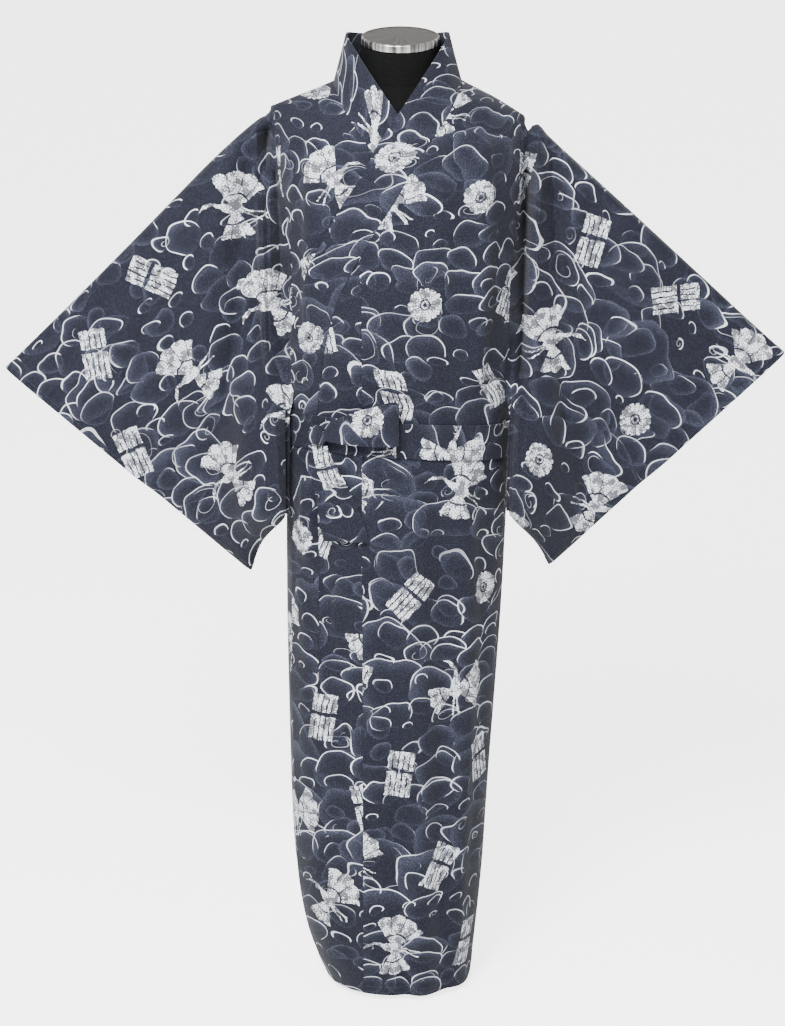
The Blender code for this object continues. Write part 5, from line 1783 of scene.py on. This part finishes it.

# The bands set the cap's roughness and, on its rim, place its painted highlight streaks.
bands, g, given, result = start_group(
    "turning bands", {"Place": (0.0, 0.0, 0.0), "Count": 9.0}, {"Band": float})
parts = g.split(given["Place"])
turn = g.angle_of(parts[1], parts[0])
streak = g.node("ShaderNodeTexNoise", noise_dimensions="1D")
g.feed(streak.inputs["W"], g.times(turn, g.over(given["Count"], 3.0)))
streak.inputs["Detail"].default_value = 3.0
g.feed(result["Band"], g.step(streak.outputs[0], 0.36, 0.66))

dust, g, given, result = start_group(
    "settled dust", {"Place": (0.0, 0.0, 0.0), "Scale": 60.0, "Amount": 1.0}, {"Dust": float})
grain = g.node("ShaderNodeTexNoise")
g.feed(grain.inputs["Vector"], given["Place"])
g.feed(grain.inputs["Scale"], given["Scale"])
grain.inputs["Detail"].default_value = 5.0
g.feed(result["Dust"], g.times(g.step(grain.outputs[0], 0.48, 0.74), given["Amount"]))
print("groups:", [tree.name for tree in bpy.data.node_groups])

# %% Cover, metal and enamel
jersey, shader, g = start_material("form_cover", (0.0022, 0.0023, 0.0025), 0.95, 0.0)
shader.inputs["Specular IOR Level"].default_value = 0.12
place = g.node("ShaderNodeTexCoord").outputs["Object"]
bump = g.node("ShaderNodeBump")
bump.inputs["Strength"].default_value = 0.5
bump.inputs["Distance"].default_value = 0.0003
g.feed(bump.inputs["Height"], g.use(knit, Place=place)["Height"])
g.feed(shader.inputs["Normal"], bump.outputs[0])
lint = g.use(dust, Place=place, Scale=420.0, Amount=1.0)["Dust"]
g.feed(shader.inputs["Base Color"], g.blend(g.times(lint, 0.06), (0.0022, 0.0023, 0.0025, 1.0),
                                            (0.05, 0.05, 0.052, 1.0)))

satin, shader, g = start_material("satin_metal", (0.135, 0.120, 0.108), 0.34, 1.0)
place = g.node("ShaderNodeTexCoord").outputs["Object"]
band = g.use(bands, Place=place, Count=4.0)["Band"]
g.feed(shader.inputs["Roughness"], g.mix(band, 0.26, 0.42))
parts = g.split(place)
# On the cap's rim the turning bands are painted into the base colour as bright highlight streaks;
# elsewhere they only change the roughness.
highlight_rim = g.step(g.vector("LENGTH", g.join(parts[0], g.plus(parts[1], -last_ring.y))), 0.0535, 0.0560)
painted_rim_highlights = g.blend(g.times(band, highlight_rim), (0.135, 0.120, 0.108, 1.0), (0.80, 0.80, 0.78, 1.0))
worn = g.use(dust, Place=place, Scale=90.0, Amount=0.6)["Dust"]
g.feed(shader.inputs["Base Color"], g.blend(g.times(worn, 0.12), painted_rim_highlights, (0.30, 0.28, 0.26, 1.0)))

enamel, shader, g = start_material("foot_enamel", (0.03, 0.03, 0.032), 0.4, 0.0)
place = g.node("ShaderNodeTexCoord").outputs["Object"]
shader.inputs["Coat Weight"].default_value = 0.3
grey = g.use(dust, Place=place, Scale=70.0, Amount=0.8)["Dust"]
g.feed(shader.inputs["Base Color"], g.blend(g.times(grey, 0.5), (0.03, 0.03, 0.032, 1.0),
                                            (0.20, 0.19, 0.18, 1.0)))
g.feed(shader.inputs["Roughness"], g.mix(grey, 0.35, 0.75))

for piece, material in ((neck_cover, jersey), (cap, satin), (pole, satin), (foot, enamel)):
    piece.data.materials.clear()
    piece.data.materials.append(material)
form = bpy.data.objects["form_torso"]
form.data.materials.clear()
form.data.materials.append(jersey)
print("form, cap and stand finished")

# %% [markdown]
# ## Stitches
#
# The hem and the cuffs are turned under and sewn with a running stitch. Every stitch is a short
# rounded piece of thread that lies in the cloth along its row.

# %% Rows of stitches
STITCH_LENGTH = 0.0030
STITCH_PITCH = 0.0048
STITCH_LIFT = 0.0001
STITCH_SAG = 0.00018
STITCH_SIDES = 6
STITCH_RINGS = ((-0.5, 0.45), (-0.36, 1.0), (0.36, 1.0), (0.5, 0.45))
THREAD = 0.00034


def stitch_row(points, normals, lift):
    """Places, directions and normals of stitches along a line of points."""
    steps = np.linalg.norm(np.diff(points, axis=0), axis=1)
    run = np.concatenate([[0.0], np.cumsum(steps)])
    places = np.arange(STITCH_PITCH, run[-1] - STITCH_PITCH, STITCH_PITCH)
    found = []
    for place in places:
        here = np.array([np.interp(place, run, points[:, k]) for k in range(3)])
        after = np.array([np.interp(place + 0.001, run, points[:, k]) for k in range(3)])
        up = np.array([np.interp(place, run, normals[:, k]) for k in range(3)])
        up /= np.linalg.norm(up)
        along = (after - here) / np.linalg.norm(after - here)
        found.append((here + up * lift, along, up))
    return found


def make_stitches(name, rows, sheet_piece):
    """One mesh of all the stitches of a piece."""
    verts, faces = [], []
    sides = STITCH_SIDES
    for here, along, up in rows:
        across = np.cross(along, up)
        first = len(verts)
        for share, size in STITCH_RINGS:
            for k in range(sides):
                turn = 2.0 * math.pi * k / sides
                sag = -STITCH_SAG * abs(2.0 * share) ** 2
                ring = (across * math.cos(turn) * 1.2 + up * math.sin(turn)) * THREAD * size
                verts.append(tuple(here + along * share * STITCH_LENGTH + ring + up * sag))
        for ring in range(len(STITCH_RINGS) - 1):
            for k in range(sides):
                n = (k + 1) % sides
                a, b = first + ring * sides, first + (ring + 1) * sides
                faces.append([a + k, b + k, b + n, a + n])
        faces.append([first + k for k in range(sides)])
        faces.append([first + 3 * sides + k for k in reversed(range(sides))])
    mesh = bpy.data.meshes.new(name)
    mesh.from_pydata(verts, [], faces)
    mesh.shade_smooth()
    piece = bpy.data.objects.new(name, mesh)
    bpy.context.scene.collection.objects.link(piece)
    piece.data.materials.append(thread)
    piece.parent = sheet_piece
    print(name, len(rows), "stitches")
    return piece


thread, shader, g = start_material("sewing_thread", (0.012, 0.014, 0.03), 0.6, 0.0)
place = g.node("ShaderNodeTexCoord").outputs["Object"]
fuzz = g.use(dust, Place=place, Scale=2500.0, Amount=1.0)["Dust"]
fuzz_colour = g.blend(fuzz, (0.010, 0.012, 0.028, 1.0), (0.05, 0.055, 0.08, 1.0))
g.feed(shader.inputs["Base Color"], fuzz_colour)

for node, side in (("sleeve_left", LEFT), ("sleeve_right", RIGHT)):
    points = laid[node]
    normals = normals_of(points, True) * -side
    row = stitch_row(points[:, -2], normals[:, -2], COTTON + STITCH_LIFT)
    make_stitches("cuff_stitches_" + node[7:], row, sleeve_cloth[side])
for node, side in (("body_left", LEFT), ("body_right", RIGHT)):
    points = laid[node]
    normals = normals_of(points) * side
    row = stitch_row(points[2], normals[2], COTTON + STITCH_LIFT)
    row += stitch_row(points[-3], normals[-3], COTTON + STITCH_LIFT)
    make_stitches("hem_stitches_" + node[5:], row, body_cloth[side])

# %% [markdown]
# ## Floor, light and camera
#
# One large lamp above and to the left of the camera, and a white world, give the soft even light
# of a studio. Only to the camera do the floor and the world glow brighter: they read as a white
# background, and add no light to the dark cloth. The camera stands high and looks a little down.

# %% Studio
bpy.ops.mesh.primitive_plane_add(size=44.0, location=(0.0, 0.0, 0.0))
floor = bpy.context.active_object
floor.name = "studio_floor"
pale, shader, g = start_material("studio_floor", (0.96, 0.96, 0.96), 0.9, 0.0)
shader.inputs["Emission Color"].default_value = (1.0, 1.0, 1.0, 1.0)
seen = g.node("ShaderNodeLightPath").outputs["Is Camera Ray"]
g.feed(shader.inputs["Emission Strength"], g.times(seen, 3.2))
floor.data.materials.append(pale)

world = bpy.context.scene.world or bpy.data.worlds.new("studio")
bpy.context.scene.world = world
world.use_nodes = True
world.node_tree.nodes["Background"].inputs["Color"].default_value = (1.0, 1.0, 1.0, 1.0)
g = Graph(world.node_tree)
seen = g.node("ShaderNodeLightPath").outputs["Is Camera Ray"]
g.feed(world.node_tree.nodes["Background"].inputs["Strength"], g.times_plus(seen, 3.4, 0.82))

key = bpy.data.lights.new("key", "AREA")
key.energy = 300.0
key.size = 1.3
key_light = bpy.data.objects.new("key", key)
key_light.location = (-0.8, -2.4, 3.1)
towards = Vector((0.0, 0.0, 1.0)) - key_light.location
key_light.rotation_euler = towards.to_track_quat("-Z", "Y").to_euler()
bpy.context.scene.collection.objects.link(key_light)

camera_data = bpy.data.cameras.new("camera")
camera_data.lens = 100.0
camera_data.sensor_width = 36.0
camera = bpy.data.objects.new("camera", camera_data)
camera.location = (-0.0115, -4.2, 2.0)
camera.rotation_euler = (math.radians(90.0 - 16.4), 0.0, 0.0)
bpy.context.scene.collection.objects.link(camera)
bpy.context.scene.camera = camera
print("camera:", tuple(camera.location), "lens", camera_data.lens)
